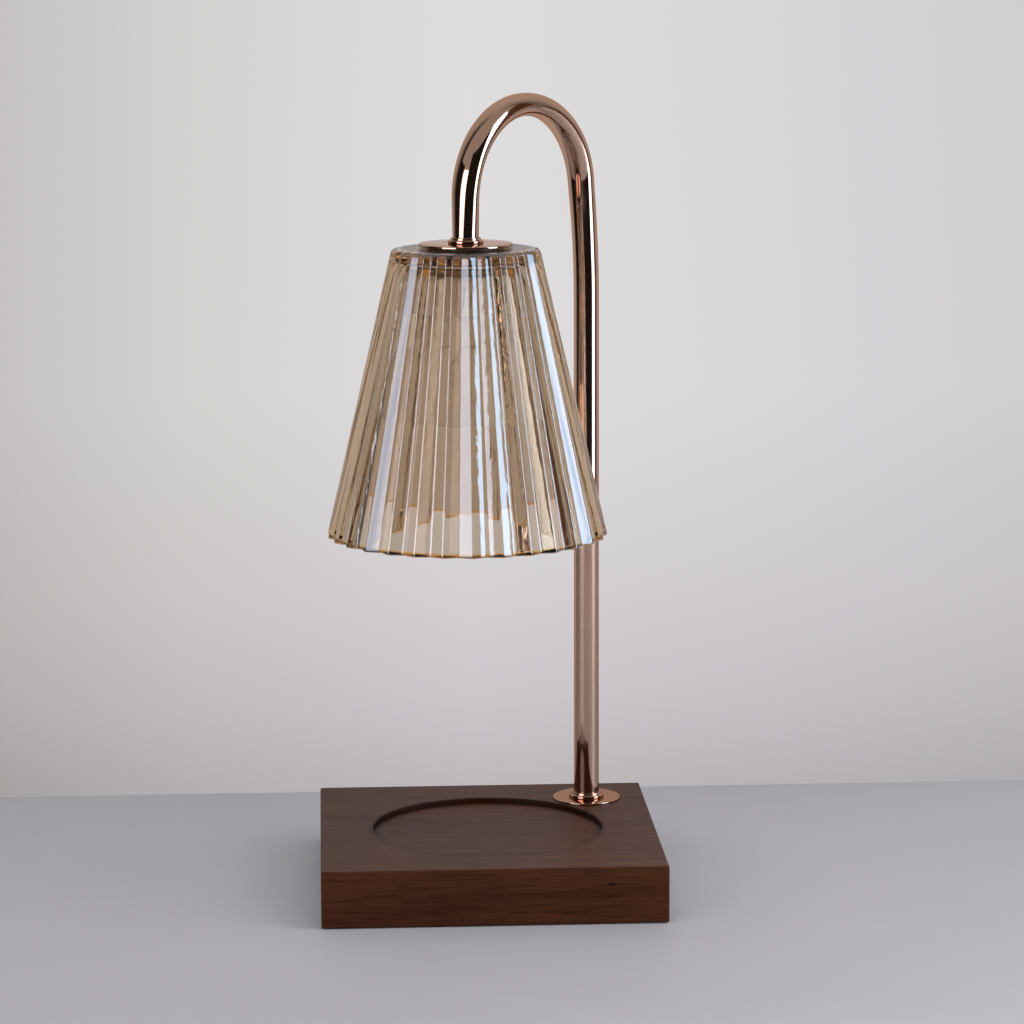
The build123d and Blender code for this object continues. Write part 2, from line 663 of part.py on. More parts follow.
# Threaded bush that ties tube, shade and lampholder together.
SHADE_NIPPLE_FOOT = 273.4
SHADE_NIPPLE_TOP = DISC_TOP + THREAD_DEPTH / 2 - 0.5
SHADE_NIPPLE_LONG = SHADE_NIPPLE_TOP - SHADE_NIPPLE_FOOT
with BuildPart() as shade_nipple:
    ring(neck_end_plane(SHADE_NIPPLE_FOOT), THREAD_RADIUS, NIPPLE_BORE, SHADE_NIPPLE_LONG)
finish(shade_nipple, "shade_nipple")

SHADE_NUT = 3.0
with BuildPart() as shade_nut:
    with BuildSketch(neck_end_plane(CAP_TOP - SHEET - SHADE_NUT)):
        RegularPolygon(NUT_FLATS / 2, 6, major_radius=False)
        Circle(THREAD_RADIUS, mode=Mode.SUBTRACT)
    extrude(amount=SHADE_NUT)
finish(shade_nut, "shade_nut")

# ---------------------------------------------------------------- lampholder
SCREW_POSTS = PolarLocations(HOLDER_SCREW_CIRCLE, 2, start_angle=90)
HOLDER_SCREW = 1.25
HOLDER_SCREW_HEAD = 2.1
HOLDER_SINK = 1.6
CAP_SHEET = 0.8

# Plated cap clamped by the nut, which carries the ceramic body on two screws.
with BuildPart() as holder_cap:
    ring(shade_plane(CAP_TOP - SHEET), CAP_RADIUS, THREAD_RADIUS + HOLE_SLACK, SHEET)
    skirt = CAP_TOP - SHEET - CAP_BOTTOM
    ring(shade_plane(CAP_BOTTOM), CAP_RADIUS, CAP_RADIUS - CAP_SHEET, skirt)
    with BuildSketch(shade_plane(CAP_TOP - SHEET)):
        with SCREW_POSTS:
            Circle(HOLDER_SCREW)
    extrude(amount=SHEET, mode=Mode.SUBTRACT)
finish(holder_cap, "holder_cap")


def pin_tracks(height, half_width):
    """The two round-ended arcs that the pins sweep between free and locked."""
    with BuildSketch(shade_plane(height)) as tracks:
        for locked in (0, 180):
            free = locked - TWIST
            locked_end = Vector(PIN_CIRCLE, 0).rotate(Axis.Z, locked)
            free_end = Vector(PIN_CIRCLE, 0).rotate(Axis.Z, free)
            with BuildLine():
                CenterArc((0, 0), PIN_CIRCLE + half_width, free, TWIST)
                CenterArc(locked_end, half_width, locked, 180)
                CenterArc((0, 0), PIN_CIRCLE - half_width, locked, -TWIST)
                CenterArc(free_end, half_width, free + 180, 180)
            make_face()
    return tracks.sketch


# Ceramic body: a wiring well above, and below it two bayonet tracks for the bulb's pins.
HOLDER_EASE = 0.8
VENT_FOOT = 262.5
VENT_HIGH = 8.3
VENT_DEEP = 1.2
VENT_WIDE = 1.8
with BuildPart() as lampholder:
    with BuildSketch(shade_plane(HOLDER_FACE)):
        Circle(HOLDER_RADIUS)
    extrude(amount=HOLDER_TOP - HOLDER_FACE)
    chamfer(lampholder.edges().group_by(Axis.Z)[0], HOLDER_EASE)
    with BuildSketch(shade_plane(WELL_FLOOR)):
        Circle(WELL_RADIUS)
    extrude(amount=HOLDER_TOP - WELL_FLOOR, mode=Mode.SUBTRACT)
    head_tracks = pin_tracks(LIP_TOP, PIN_HEAD + PIN_SLACK)
    extrude(head_tracks, amount=WELL_FLOOR - LIP_TOP, mode=Mode.SUBTRACT)
    shank_tracks = pin_tracks(HOLDER_FACE, PIN_SHANK + PIN_SLACK)
    extrude(shank_tracks, amount=LIP_TOP - HOLDER_FACE, mode=Mode.SUBTRACT)
    with BuildSketch(shade_plane(HOLDER_FACE)):
        with PolarLocations(PIN_CIRCLE, 2, start_angle=-TWIST):
            Circle(PIN_HEAD + PIN_SLACK)
    extrude(amount=LIP_TOP - HOLDER_FACE, mode=Mode.SUBTRACT)
    with BuildSketch(shade_plane(HOLDER_FACE)):
        with SCREW_POSTS:
            Circle(HOLDER_SCREW + 0.1)
    extrude(amount=HOLDER_TOP - HOLDER_FACE, mode=Mode.SUBTRACT)
    with BuildSketch(shade_plane(HOLDER_FACE)):
        with SCREW_POSTS:
            Circle(HOLDER_SCREW_HEAD + 0.1)
    extrude(amount=HOLDER_SINK, mode=Mode.SUBTRACT)
    with BuildSketch(shade_plane(VENT_FOOT)):
        with PolarLocations(HOLDER_RADIUS, VENT_COUNT, start_angle=180 / VENT_COUNT):
            Rectangle(2 * VENT_DEEP, VENT_WIDE)
    extrude(amount=VENT_HIGH, mode=Mode.SUBTRACT)
finish(lampholder, "lampholder")

# Two screws that draw the ceramic body up into its cap.
HOLDER_HEAD_Z = HOLDER_FACE + 0.2
with BuildPart() as holder_screws:
    with BuildSketch(shade_plane(HOLDER_HEAD_Z)):
        with SCREW_POSTS:
            Circle(HOLDER_SCREW_HEAD)
    extrude(amount=HOLDER_FACE + HOLDER_SINK - HOLDER_HEAD_Z)
    with BuildSketch(shade_plane(HOLDER_HEAD_Z)):
        with SCREW_POSTS:
            Circle(HOLDER_SCREW)
    extrude(amount=CAP_TOP - HOLDER_HEAD_Z)
    with BuildSketch(shade_plane(HOLDER_HEAD_Z)):
        with SCREW_POSTS:
            Rectangle(2 * HOLDER_SCREW_HEAD, DRIVER_WIDE)
    extrude(amount=DRIVER_DEEP, mode=Mode.SUBTRACT)
finish(holder_screws, "holder_screws")

# Contact springs on the floor of the well, each with a button on a pin and a tab for a core.
CONTACT = 0.8
CONTACT_LONG = 6.0
CONTACT_WIDE = 5.0
BUTTON_RADIUS = 1.6
TAB_PLACE = 8.2
TAB_WIDE = 4.0
TAB_HIGH = 5.0
PIN_TOP = 262.0
with BuildPart() as holder_contacts:
    with BuildSketch(shade_plane(WELL_FLOOR)):
        with PolarLocations(TAB_PLACE + CONTACT / 2 - CONTACT_LONG / 2, 2):
            Rectangle(CONTACT_LONG, CONTACT_WIDE)
    extrude(amount=CONTACT)
    with BuildSketch(shade_plane(PIN_TOP + 0.1)):
        with PolarLocations(PIN_CIRCLE, 2):
            Circle(BUTTON_RADIUS)
    extrude(amount=WELL_FLOOR - PIN_TOP)
    with BuildSketch(shade_plane(WELL_FLOOR)):
        with PolarLocations(TAB_PLACE, 2):
            Rectangle(CONTACT, TAB_WIDE)
    extrude(amount=TAB_HIGH)
finish(holder_contacts, "holder_contacts")

# The lead's cores in the well, each bent out to its contact's tab.
CORE_END_Z = 266.0
CORE_DROP_Z = HOLDER_LEAD_Z - 2.0
CORE_ELBOW = 4.4
HOLDER_CORE_RADII = [2.0, 3.4]
with BuildPart() as holder_cores:
    for side in (-1, 1):
        with BuildLine() as core_path:
            FilletPolyline(
                (SHADE_X + side * CORE_PAIR, SHADE_Y, HOLDER_LEAD_Z),
                (SHADE_X + side * CORE_PAIR, SHADE_Y, CORE_DROP_Z),
                (SHADE_X + side * CORE_ELBOW, SHADE_Y, CORE_END_Z),
                (SHADE_X + side * (TAB_PLACE - CONTACT / 2), SHADE_Y, CORE_END_Z),
                radius=HOLDER_CORE_RADII,
            )
        with BuildSketch(Plane(origin=core_path.line @ 0, z_dir=core_path.line % 0)):
            Circle(CORE_RADIUS)
        sweep()
finish(holder_cores, "holder_cores")

# ---------------------------------------------------------------- bulb
# Ceramic cap of the bulb, with the reflector's neck cemented in its skirt.
BULB_TOP_RADIUS = 9.0
BULB_SKIRT_RADIUS = 9.6
NECK_RADIUS = 8.0
NECK_GRIP_Z = BULB_NECK_Z + 3.0
PINCH_RADIUS = 3.2
PINCH_Z = BULB_NECK_Z + 7.0
with BuildPart() as bulb_base:
    with BuildSketch(shade_section()) as cap_section:
        with BuildLine():
            Polyline(
                (0, BULB_SEAT),
                (BULB_TOP_RADIUS, BULB_SEAT),
                (BULB_SKIRT_RADIUS, NECK_GRIP_Z),
                (BULB_SKIRT_RADIUS, BULB_NECK_Z),
                (NECK_RADIUS, BULB_NECK_Z),
                (NECK_RADIUS, NECK_GRIP_Z),
                (PINCH_RADIUS, NECK_GRIP_Z),
                (PINCH_RADIUS, PINCH_Z),
                (0, PINCH_Z),
                close=True,
            )
        make_face()
        fillet(cap_section.vertices().group_by(Axis.Y)[-1].sort_by(Axis.X)[-1], HOLDER_EASE)
    revolve(axis=SHADE_AXIS)
finish(bulb_base, "bulb_base")

# Two headed pins that carry the bulb and its current.
PIN_HEAD_Z = LIP_TOP + 0.2
PIN_EASE = 0.5
with BuildPart() as bulb_pins:
    with BuildSketch(shade_plane(BULB_SEAT)):
        with PolarLocations(PIN_CIRCLE, 2):
            Circle(PIN_SHANK)
    extrude(amount=PIN_HEAD_Z - BULB_SEAT)
    with BuildSketch(shade_plane(PIN_HEAD_Z)):
        with PolarLocations(PIN_CIRCLE, 2):
            Circle(PIN_HEAD)
    extrude(amount=PIN_TOP - PIN_HEAD_Z)
    chamfer(bulb_pins.edges().group_by(Axis.Z)[-1], PIN_EASE)
finish(bulb_pins, "bulb_pins")

# Pressed glass reflector, a deep bowl that ends in a short cylindrical rim.
BOWL_OUTSIDE = (19.0, 233.0)
BOWL_INSIDE = (17.9, 231.9)
NECK_INNER = NECK_RADIUS - BULB_GLASS
NECK_FOOT_Z = BULB_NECK_Z - 2.0
RIM_INNER = BULB_RADIUS - BULB_GLASS
with BuildPart() as bulb_reflector:
    with BuildSketch(shade_section()):
        with BuildLine():
            rim_corner = (BULB_RADIUS, BULB_RIM_Z)
            outside = ThreePointArc((NECK_RADIUS, BULB_NECK_Z), BOWL_OUTSIDE, rim_corner)
            Line(outside @ 1, (BULB_RADIUS, BULB_FRONT))
            Line((BULB_RADIUS, BULB_FRONT), (RIM_INNER, BULB_FRONT))
            Line((RIM_INNER, BULB_FRONT), (RIM_INNER, BULB_RIM_Z))
            neck_foot = (NECK_INNER, NECK_FOOT_Z)
            bowl = ThreePointArc((RIM_INNER, BULB_RIM_Z), BOWL_INSIDE, neck_foot)
            Line(bowl @ 1, (NECK_INNER, NECK_GRIP_Z))
            Line((NECK_INNER, NECK_GRIP_Z), (NECK_RADIUS, NECK_GRIP_Z))
            Line((NECK_RADIUS, NECK_GRIP_Z), outside @ 0)
        make_face()
    revolve(axis=SHADE_AXIS)
finish(bulb_reflector, "bulb_reflector")

# Front glass, bevelled where it sits in the reflector's rim.
LENS_SUNK = 0.3
LENS_THICK = 1.9
LENS_BEVEL = 0.7
with BuildPart() as bulb_lens:
    with BuildSketch(shade_plane(BULB_FRONT + LENS_SUNK)):
        Circle(RIM_INNER)
    extrude(amount=LENS_THICK)
    chamfer(bulb_lens.edges().group_by(Axis.Z)[0], LENS_BEVEL)
finish(bulb_lens, "bulb_lens")

# Quartz capsule, closed at its front end, with its pinch in the cap.
CAPSULE_TIP = 224.0
CAPSULE_RADIUS = 5.0
CAPSULE_WALL = 1.0
CAPSULE_NECK = 3.0
CAPSULE_CORE = 0.6
CAPSULE_ROUND = 2.0
CAPSULE_TOP = PINCH_Z - 0.2
with BuildPart() as bulb_capsule:
    with BuildSketch(shade_section()) as capsule_section:
        with BuildLine():
            Polyline(
                (CAPSULE_CORE, CAPSULE_TOP),
                (CAPSULE_NECK, CAPSULE_TOP),
                (CAPSULE_NECK, BULB_NECK_Z - 2.5),
                (CAPSULE_RADIUS, BULB_NECK_Z - 4.5),
                (CAPSULE_RADIUS, CAPSULE_TIP),
                (0, CAPSULE_TIP),
                (0, CAPSULE_TIP + CAPSULE_WALL),
                (CAPSULE_RADIUS - CAPSULE_WALL, CAPSULE_TIP + CAPSULE_WALL),
                (CAPSULE_RADIUS - CAPSULE_WALL, BULB_NECK_Z - 6.0),
                (CAPSULE_CORE, BULB_NECK_Z - 6.0),
                close=True,
            )
        make_face()
        fillet(capsule_section.vertices().group_by(Axis.Y)[0].sort_by(Axis.X)[-1], CAPSULE_ROUND)
    revolve(axis=SHADE_AXIS)
finish(bulb_capsule, "bulb_capsule")

# Tungsten coil on its support wire.
COIL_RADIUS = 0.9
COIL_FOOT = 228.0
COIL_TOP = 234.0
WIRE_RADIUS = 0.25
WIRE_TOP = PINCH_Z - 1.0
with BuildPart() as bulb_filament:
    with BuildSketch(shade_plane(COIL_FOOT)):
        Circle(COIL_RADIUS)
    extrude(amount=COIL_TOP - COIL_FOOT)
    with BuildSketch(shade_plane(COIL_TOP)):
        Circle(WIRE_RADIUS)
    extrude(amount=WIRE_TOP - COIL_TOP)
finish(bulb_filament, "bulb_filament")
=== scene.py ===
import json
from math import acos, cos, pi, radians, sin, tan

import bpy
from mathutils import Euler, Matrix, Vector, noise


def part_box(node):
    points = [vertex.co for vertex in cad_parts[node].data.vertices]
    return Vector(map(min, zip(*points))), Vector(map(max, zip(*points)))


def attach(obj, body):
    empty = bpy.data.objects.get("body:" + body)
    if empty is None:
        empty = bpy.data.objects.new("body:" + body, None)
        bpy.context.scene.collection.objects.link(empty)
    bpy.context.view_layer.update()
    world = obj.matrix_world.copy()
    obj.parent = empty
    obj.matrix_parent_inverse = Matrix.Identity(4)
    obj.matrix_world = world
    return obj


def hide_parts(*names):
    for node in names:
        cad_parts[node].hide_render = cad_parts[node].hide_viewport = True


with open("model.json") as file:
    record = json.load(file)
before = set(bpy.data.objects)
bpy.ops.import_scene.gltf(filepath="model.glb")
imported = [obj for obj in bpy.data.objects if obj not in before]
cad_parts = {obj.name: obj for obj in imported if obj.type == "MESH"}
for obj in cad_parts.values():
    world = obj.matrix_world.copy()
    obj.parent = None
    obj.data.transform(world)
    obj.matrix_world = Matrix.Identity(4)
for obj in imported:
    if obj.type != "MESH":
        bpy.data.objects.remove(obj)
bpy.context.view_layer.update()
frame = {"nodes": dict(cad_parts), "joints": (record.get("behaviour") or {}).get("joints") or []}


# ---------------------------------------------------------------- studio
# A table top in front of a plain wall, with soft daylight from the right. The camera stands
# a little above the middle of the lamp and looks slightly down through a long lens.
LENS = 124.67
CAMERA_PLACE = (-0.0712, -1.5481, 0.4298)
LOOKING_DOWN = 9.580
TURNED_RIGHT = 3.060
ROLLED = -0.208
FARTHEST_SEEN = 50
camera_data = bpy.data.cameras.new("camera")
camera_data.lens = LENS
camera_data.clip_end = FARTHEST_SEEN
camera = bpy.data.objects.new("camera", camera_data)
bpy.context.scene.collection.objects.link(camera)
looking = Euler((radians(90 - LOOKING_DOWN), 0, radians(-TURNED_RIGHT))).to_matrix().to_4x4()
rolled = Matrix.Rotation(radians(ROLLED), 4, "Z")
camera.matrix_world = Matrix.Translation(CAMERA_PLACE) @ looking @ rolled
bpy.context.scene.camera = camera
bpy.context.scene.view_settings.view_transform = "Standard"


def linear(colour):
    """An sRGB hex colour as the linear colour that a socket takes."""
    channels = [int(colour[i : i + 2], 16) / 255 for i in (1, 3, 5)]
    return (*[c / 12.92 if c <= 0.04045 else ((c + 0.055) / 1.055) ** 2.4 for c in channels], 1)


def node(owner, kind, settings=(), inputs=(), stops=()):
    """Adds one shader node with its settings, its inputs as values or links, and ramp stops."""
    tree = owner.node_tree
    made = tree.nodes.new("ShaderNode" + kind)
    for name, value in dict(settings).items():
        setattr(made, name, value)
    for name, value in dict(inputs).items():
        if isinstance(value, bpy.types.NodeSocket):
            tree.links.new(value, made.inputs[name])
        else:
            made.inputs[name].default_value = value
    for i, (place, colour) in enumerate(stops):
        stop = made.color_ramp.elements[i] if i < 2 else made.color_ramp.elements.new(place)
        stop.position = place
        stop.color = linear(colour)
    return made


def material(name):
    """An empty node material."""
    made = bpy.data.materials.new(name)
    made.use_nodes = True
    made.node_tree.nodes.clear()
    return made


def mesh_object(name, points, faces, finish, sharp=35):
    """A smooth-shaded mesh, creased where its faces meet at more than the sharp angle."""
    mesh = bpy.data.meshes.new(name)
    mesh.from_pydata(points, [], faces)
    mesh.polygons.foreach_set("use_smooth", [True] * len(mesh.polygons))
    mesh.set_sharp_from_angle(angle=radians(sharp))
    mesh.materials.append(finish)
    made = bpy.data.objects.new(name, mesh)
    bpy.context.scene.collection.objects.link(made)
    return made


# Table top of pale lilac-grey laminate: matt, with a faint mottle about 100 mm across. Out of
# shot, in front and to the right, its colour is painted lighter: painted daylight that falls on
# it. Its underside lets sight through, so that the lamp can be seen from below.
TABLE_HALF = 4.0
TO_WINDOW = (0.6, -0.8, 0)
PAINTED_DAYLIGHT_FROM, PAINTED_DAYLIGHT_FULL = 0.1, 0.5
table_finish = material("pale_laminate_table")
place = node(table_finish, "TexCoord").outputs["Object"]
mottle = node(table_finish, "TexNoise", inputs={"Vector": place, "Scale": 9, "Detail": 3})
tone = node(
    table_finish,
    "ValToRGB",
    inputs={"Fac": mottle.outputs["Fac"]},
    stops=[(0.3, "#B9BBC2"), (0.7, "#BEBFC6")],
)
# Painted daylight: the colour is lightened towards the window's side.
towards_window = node(
    table_finish, "VectorMath", {"operation": "DOT_PRODUCT"}, {0: place, 1: TO_WINDOW}
)
painted_daylight_share = node(
    table_finish,
    "MapRange",
    {"interpolation_type": "SMOOTHSTEP"},
    {
        "Value": towards_window.outputs["Value"],
        "From Min": PAINTED_DAYLIGHT_FROM,
        "From Max": PAINTED_DAYLIGHT_FULL,
    },
)
painted_daylight_tone = node(
    table_finish,
    "MixRGB",
    inputs={
        "Fac": painted_daylight_share.outputs[0],
        "Color1": tone.outputs["Color"],
        "Color2": linear("#D3D4DD"),
    },
)
laminate = node(
    table_finish,
    "BsdfPrincipled",
    inputs={"Base Color": painted_daylight_tone.outputs["Color"], "Roughness": 0.55},
)
underneath = node(table_finish, "NewGeometry").outputs["Backfacing"]
open_below = node(table_finish, "BsdfTransparent")
table_shader = node(
    table_finish,
    "MixShader",
    inputs={0: underneath, 1: laminate.outputs[0], 2: open_below.outputs[0]},
)
node(table_finish, "OutputMaterial", inputs={"Surface": table_shader.outputs[0]})
table = mesh_object(
    "table",
    [
        (-TABLE_HALF, -TABLE_HALF, 0),
        (TABLE_HALF, -TABLE_HALF, 0),
        (TABLE_HALF, TABLE_HALF, 0),
        (-TABLE_HALF, TABLE_HALF, 0),
    ],
    [(0, 1, 2, 3)],
    table_finish,
)

# Wall behind the table, its colour painted with shade: a little darker low down and high up,
# and also towards the sides where it is seen. Seen directly and in metal and glass, it glows
# with this painted shade instead of being lit. Its back lets light and sight through, so that
# the lamp can be seen from behind.
WALL_Y = 0.168
WALL_HALF = 4.0
WALL_HIGH = 3.0
PAINTED_SHADE_HALF = 1.0
wall_finish = material("warm_white_wall_paint")
place = node(wall_finish, "TexCoord").outputs["Object"]
split = node(wall_finish, "SeparateXYZ", inputs={"Vector": place})
height, sideways = split.outputs["Z"], split.outputs["X"]
# Painted shade by height: darker low down and high up.
tone = node(
    wall_finish,
    "ValToRGB",
    inputs={"Fac": height},
    stops=[
        (0.0, "#BCB8BA"),
        (1.0, "#BAB8B6"),
        (0.045, "#CAC6C9"),
        (0.1, "#D5D1D3"),
        (0.2, "#DFDDDE"),
        (0.42, "#DEDCDD"),
        (0.55, "#D2D0D0"),
    ],
)
# Painted shade towards the sides, on the glow only.
from_left = node(
    wall_finish,
    "MapRange",
    inputs={"Value": sideways, "From Min": -PAINTED_SHADE_HALF, "From Max": PAINTED_SHADE_HALF},
)
painted_side_shade = node(
    wall_finish,
    "ValToRGB",
    inputs={"Fac": from_left.outputs[0]},
    stops=[
        (0.0, "#404040"),
        (1.0, "#A0A0A0"),
        (0.25, "#707070"),
        (0.36, "#D8D6D4"),
        (0.43, "#F2F1F0"),
        (0.5, "#FFFFFF"),
        (0.57, "#F8F8F8"),
        (0.64, "#EEEEF0"),
    ],
)
painted_wall_shade = node(
    wall_finish,
    "MixRGB",
    {"blend_type": "MULTIPLY"},
    {"Fac": 1.0, "Color1": tone.outputs["Color"], "Color2": painted_side_shade.outputs["Color"]},
)
path = node(wall_finish, "LightPath")
seen = node(
    wall_finish,
    "Math",
    {"operation": "MAXIMUM"},
    {0: path.outputs["Is Camera Ray"], 1: path.outputs["Is Glossy Ray"]},
)
seen = node(
    wall_finish,
    "Math",
    {"operation": "MAXIMUM"},
    {0: seen.outputs[0], 1: path.outputs["Is Transmission Ray"]},
)
# The wall glows with its painted shade, though it is no lamp, where it is seen directly and in
# metal and glass. Other rays find the matt paint, which carries only the painted shade by height.
painted_shade_glow = node(wall_finish, "Emission", inputs={"Color": painted_wall_shade.outputs["Color"]})
paint = node(
    wall_finish, "BsdfDiffuse", inputs={"Color": tone.outputs["Color"], "Roughness": 0.8}
)
front = node(
    wall_finish, "MixShader", inputs={0: seen.outputs[0], 1: paint.outputs[0], 2: painted_shade_glow.outputs[0]}
)
clear = node(wall_finish, "BsdfTransparent")
back = node(wall_finish, "NewGeometry").outputs["Backfacing"]
wall_shader = node(
    wall_finish, "MixShader", inputs={0: back, 1: front.outputs[0], 2: clear.outputs[0]}
)
node(wall_finish, "OutputMaterial", inputs={"Surface": wall_shader.outputs[0]})
wall = mesh_object(
    "wall",
    [
        (-WALL_HALF, WALL_Y, 0),
        (WALL_HALF, WALL_Y, 0),
        (WALL_HALF, WALL_Y, WALL_HIGH),
        (-WALL_HALF, WALL_Y, WALL_HIGH),
    ],
    [(0, 1, 2, 3)],
    wall_finish,
)

# The arm's swivel joint stands on the pole's axis, and the lights and cards stand round it.
joints = {joint["name"]: joint for joint in frame["joints"]}
pole = Vector(joints["arm_swivel"]["pos_m"])
pole.z = 0


def round_lamp(bearing, distance, height):
    """A place round the pole: bearing 0 is straight in front of it, and 90 to its right."""
    angle = radians(bearing)
    return pole + Vector((sin(angle) * distance, -cos(angle) * distance, height))


# Two lights in one plane hide each other, so the second of a pair stands this much behind.
# What lights give to matt surfaces is nearly white, whatever colour polished ones show.
LIGHT_GAP = 0.02
MATT_LIGHT = "#F6F4F4"


def soft_light(name, bearings, distance, heights, colour, given, shown):
    """A pair of lights in one upright rectangle that faces the lamp: how much it gives to matt
    surfaces, and how bright polished ones show it."""
    middle = (bearings[0] + bearings[1]) / 2
    for kind, strength in (("given", given), ("shown", shown)):
        data = bpy.data.lights.new(name + "_" + kind, "AREA")
        data.shape = "RECTANGLE"
        data.size = 2 * distance * tan(radians((bearings[1] - bearings[0]) / 2))
        data.size_y = heights[1] - heights[0]
        data.energy = strength * pi * data.size * data.size_y
        data.color = linear(colour if kind == "shown" else MATT_LIGHT)[:3]
        light = bpy.data.objects.new(data.name, data)
        bpy.context.scene.collection.objects.link(light)
        light.location = round_lamp(middle, distance, (heights[0] + heights[1]) / 2)
        light.rotation_euler = (radians(90), 0, radians(middle))
        light.visible_camera = False
        light.visible_glossy = kind == "shown"
        light.visible_diffuse = kind == "given"
        distance += LIGHT_GAP


# Daylight from a tall window on the right, a lower lamp on the left, and a large soft light
# overhead that polished surfaces don't show.
LIGHT_DISTANCE = 1.05
soft_light("window", (51, 77), LIGHT_DISTANCE, (0.0, 1.5), "#C5E2FF", 2.8, 6.0)
soft_light("lamp_left", (-60, -28), LIGHT_DISTANCE, (0.0, 0.84), "#F0EEFF", 1.2, 3.2)
overhead = bpy.data.objects.new("overhead", bpy.data.lights.new("overhead", "AREA"))
overhead.data.size = 2.0
overhead.data.energy = 13.0
overhead.data.color = linear("#FFF8F0")[:3]
overhead.location = (0.2, -0.7, 2.0)
overhead.rotation_euler = (radians(-18), 0, 0)
overhead.visible_camera = False
overhead.visible_glossy = False
bpy.context.scene.collection.objects.link(overhead)

# Curved cards standing on the table out of shot, that only metal and glass show, as the dark
# of the room between the lights: two black, and a narrow brown one beside the window, which
# is also seen through the glass. Each is one sheet of coarse card, its fibre about 3 mm long.
CARD_STEP = 4
CARD_DISTANCE = 1.06
for name, first, last, high, dark, light in (
    ("black_card_front", -28, 51, 1.3, "#2A2625", "#322E2C"),
    ("black_card_left", -112, -60, 0.9, "#2A2625", "#322E2C"),
    ("brown_card_right", 77, 95, 1.3, "#6E4A30", "#765036"),
):
    card_finish = material(name)
    fibre = node(card_finish, "TexNoise", inputs={"Scale": 300})
    tone = node(
        card_finish,
        "ValToRGB",
        inputs={"Fac": fibre.outputs["Fac"]},
        stops=[(0.3, dark), (0.7, light)],
    )
    card = node(card_finish, "BsdfDiffuse", inputs={"Color": tone.outputs["Color"]})
    node(card_finish, "OutputMaterial", inputs={"Surface": card.outputs[0]})
    steps = max(1, round((last - first) / CARD_STEP))
    bearings = [first + (last - first) * i / steps for i in range(steps + 1)]
    points = [round_lamp(b, CARD_DISTANCE, z) for b in bearings for z in (0.0, high)]
    faces = [(2 * i, 2 * i + 1, 2 * i + 3, 2 * i + 2) for i in range(steps)]
    flag = mesh_object(name, points, faces, card_finish)
    flag.visible_camera = flag.visible_diffuse = flag.visible_shadow = False
    flag.visible_transmission = name == "brown_card_right"

# Pale room all round, a little darker overhead: seen at full strength directly and in metal
# and glass, and weaker as the light that it gives to matt surfaces.
ROOM_GIVES = 0.55
room = bpy.data.worlds.new("pale_room")
room.use_nodes = True
room.node_tree.nodes.clear()
bpy.context.scene.world = room
path = node(room, "LightPath")
seen = node(
    room,
    "Math",
    {"operation": "MAXIMUM"},
    {0: path.outputs["Is Camera Ray"], 1: path.outputs["Is Glossy Ray"]},
)
seen = node(
    room,
    "Math",
    {"operation": "MAXIMUM"},
    {0: seen.outputs[0], 1: path.outputs["Is Transmission Ray"]},
)
way = node(room, "TexCoord").outputs["Generated"]
upwards = node(room, "SeparateXYZ", inputs={"Vector": way}).outputs["Z"]
tone = node(
    room,
    "ValToRGB",
    inputs={"Fac": upwards},
    stops=[(0.1, "#DEDBDC"), (0.5, "#B4AFAD")],
)
shown = node(room, "Background", inputs={"Color": tone.outputs["Color"], "Strength": 1.0})
given = node(room, "Background", inputs={"Color": linear("#F4F2F6"), "Strength": ROOM_GIVES})
both = node(
    room, "MixShader", inputs={0: seen.outputs[0], 1: given.outputs[0], 2: shown.outputs[0]}
)
node(room, "OutputWorld", inputs={"Surface": both.outputs[0]})


def dress(finish, *names):
    """Gives CAD pieces their finish."""
    for name in names:
        for slot in frame["nodes"][name].material_slots:
            slot.material = finish


# ---------------------------------------------------------------- wooden base
# One square block of close-grained hardwood, stained walnut brown and given a satin lacquer.
# Its long grain runs from side to side, and one small knot shows at the front right.
MM = 0.001
STAIN_DARK = "#492714"
STAIN_MIDDLE = "#55301B"
STAIN_LIGHT = "#613921"
wood = material("walnut_stained_hardwood")
place = node(wood, "TexCoord").outputs["Object"]
# Pores are streaks about 0.3 mm wide and 12 mm long. Growth bands are about 6 mm wide and
# run 110 mm, and the stain lies uneven in clouds of about 55 mm.
along_grain = node(wood, "Mapping", inputs={"Vector": place, "Scale": (80, 3300, 3300)})
pores = node(
    wood, "TexNoise", inputs={"Vector": along_grain.outputs[0], "Scale": 1, "Detail": 3}
)
banding = node(wood, "Mapping", inputs={"Vector": place, "Scale": (9, 170, 170)})
bands = node(
    wood,
    "TexNoise",
    inputs={"Vector": banding.outputs[0], "Scale": 1, "Detail": 5, "Distortion": 0.6},
)
cloud = node(wood, "TexNoise", inputs={"Vector": place, "Scale": 18, "Detail": 2})
stain = node(
    wood,
    "ValToRGB",
    inputs={"Fac": bands.outputs["Fac"]},
    stops=[(0.25, STAIN_DARK), (0.75, STAIN_LIGHT), (0.5, STAIN_MIDDLE)],
)
pore_shade = node(
    wood,
    "ValToRGB",
    inputs={"Fac": pores.outputs["Fac"]},
    stops=[(0.3, "#928C88"), (0.55, "#FFFFFF")],
)
grained = node(
    wood,
    "MixRGB",
    {"blend_type": "MULTIPLY"},
    {"Fac": 0.8, "Color1": stain.outputs["Color"], "Color2": pore_shade.outputs["Color"]},
)
cloud_shade = node(
    wood,
    "ValToRGB",
    inputs={"Fac": cloud.outputs["Fac"]},
    stops=[(0.3, "#E0D8D4"), (0.7, "#FFFFFF")],
)
clouded = node(
    wood,
    "MixRGB",
    {"blend_type": "MULTIPLY"},
    {"Fac": 1.0, "Color1": grained.outputs["Color"], "Color2": cloud_shade.outputs["Color"]},
)
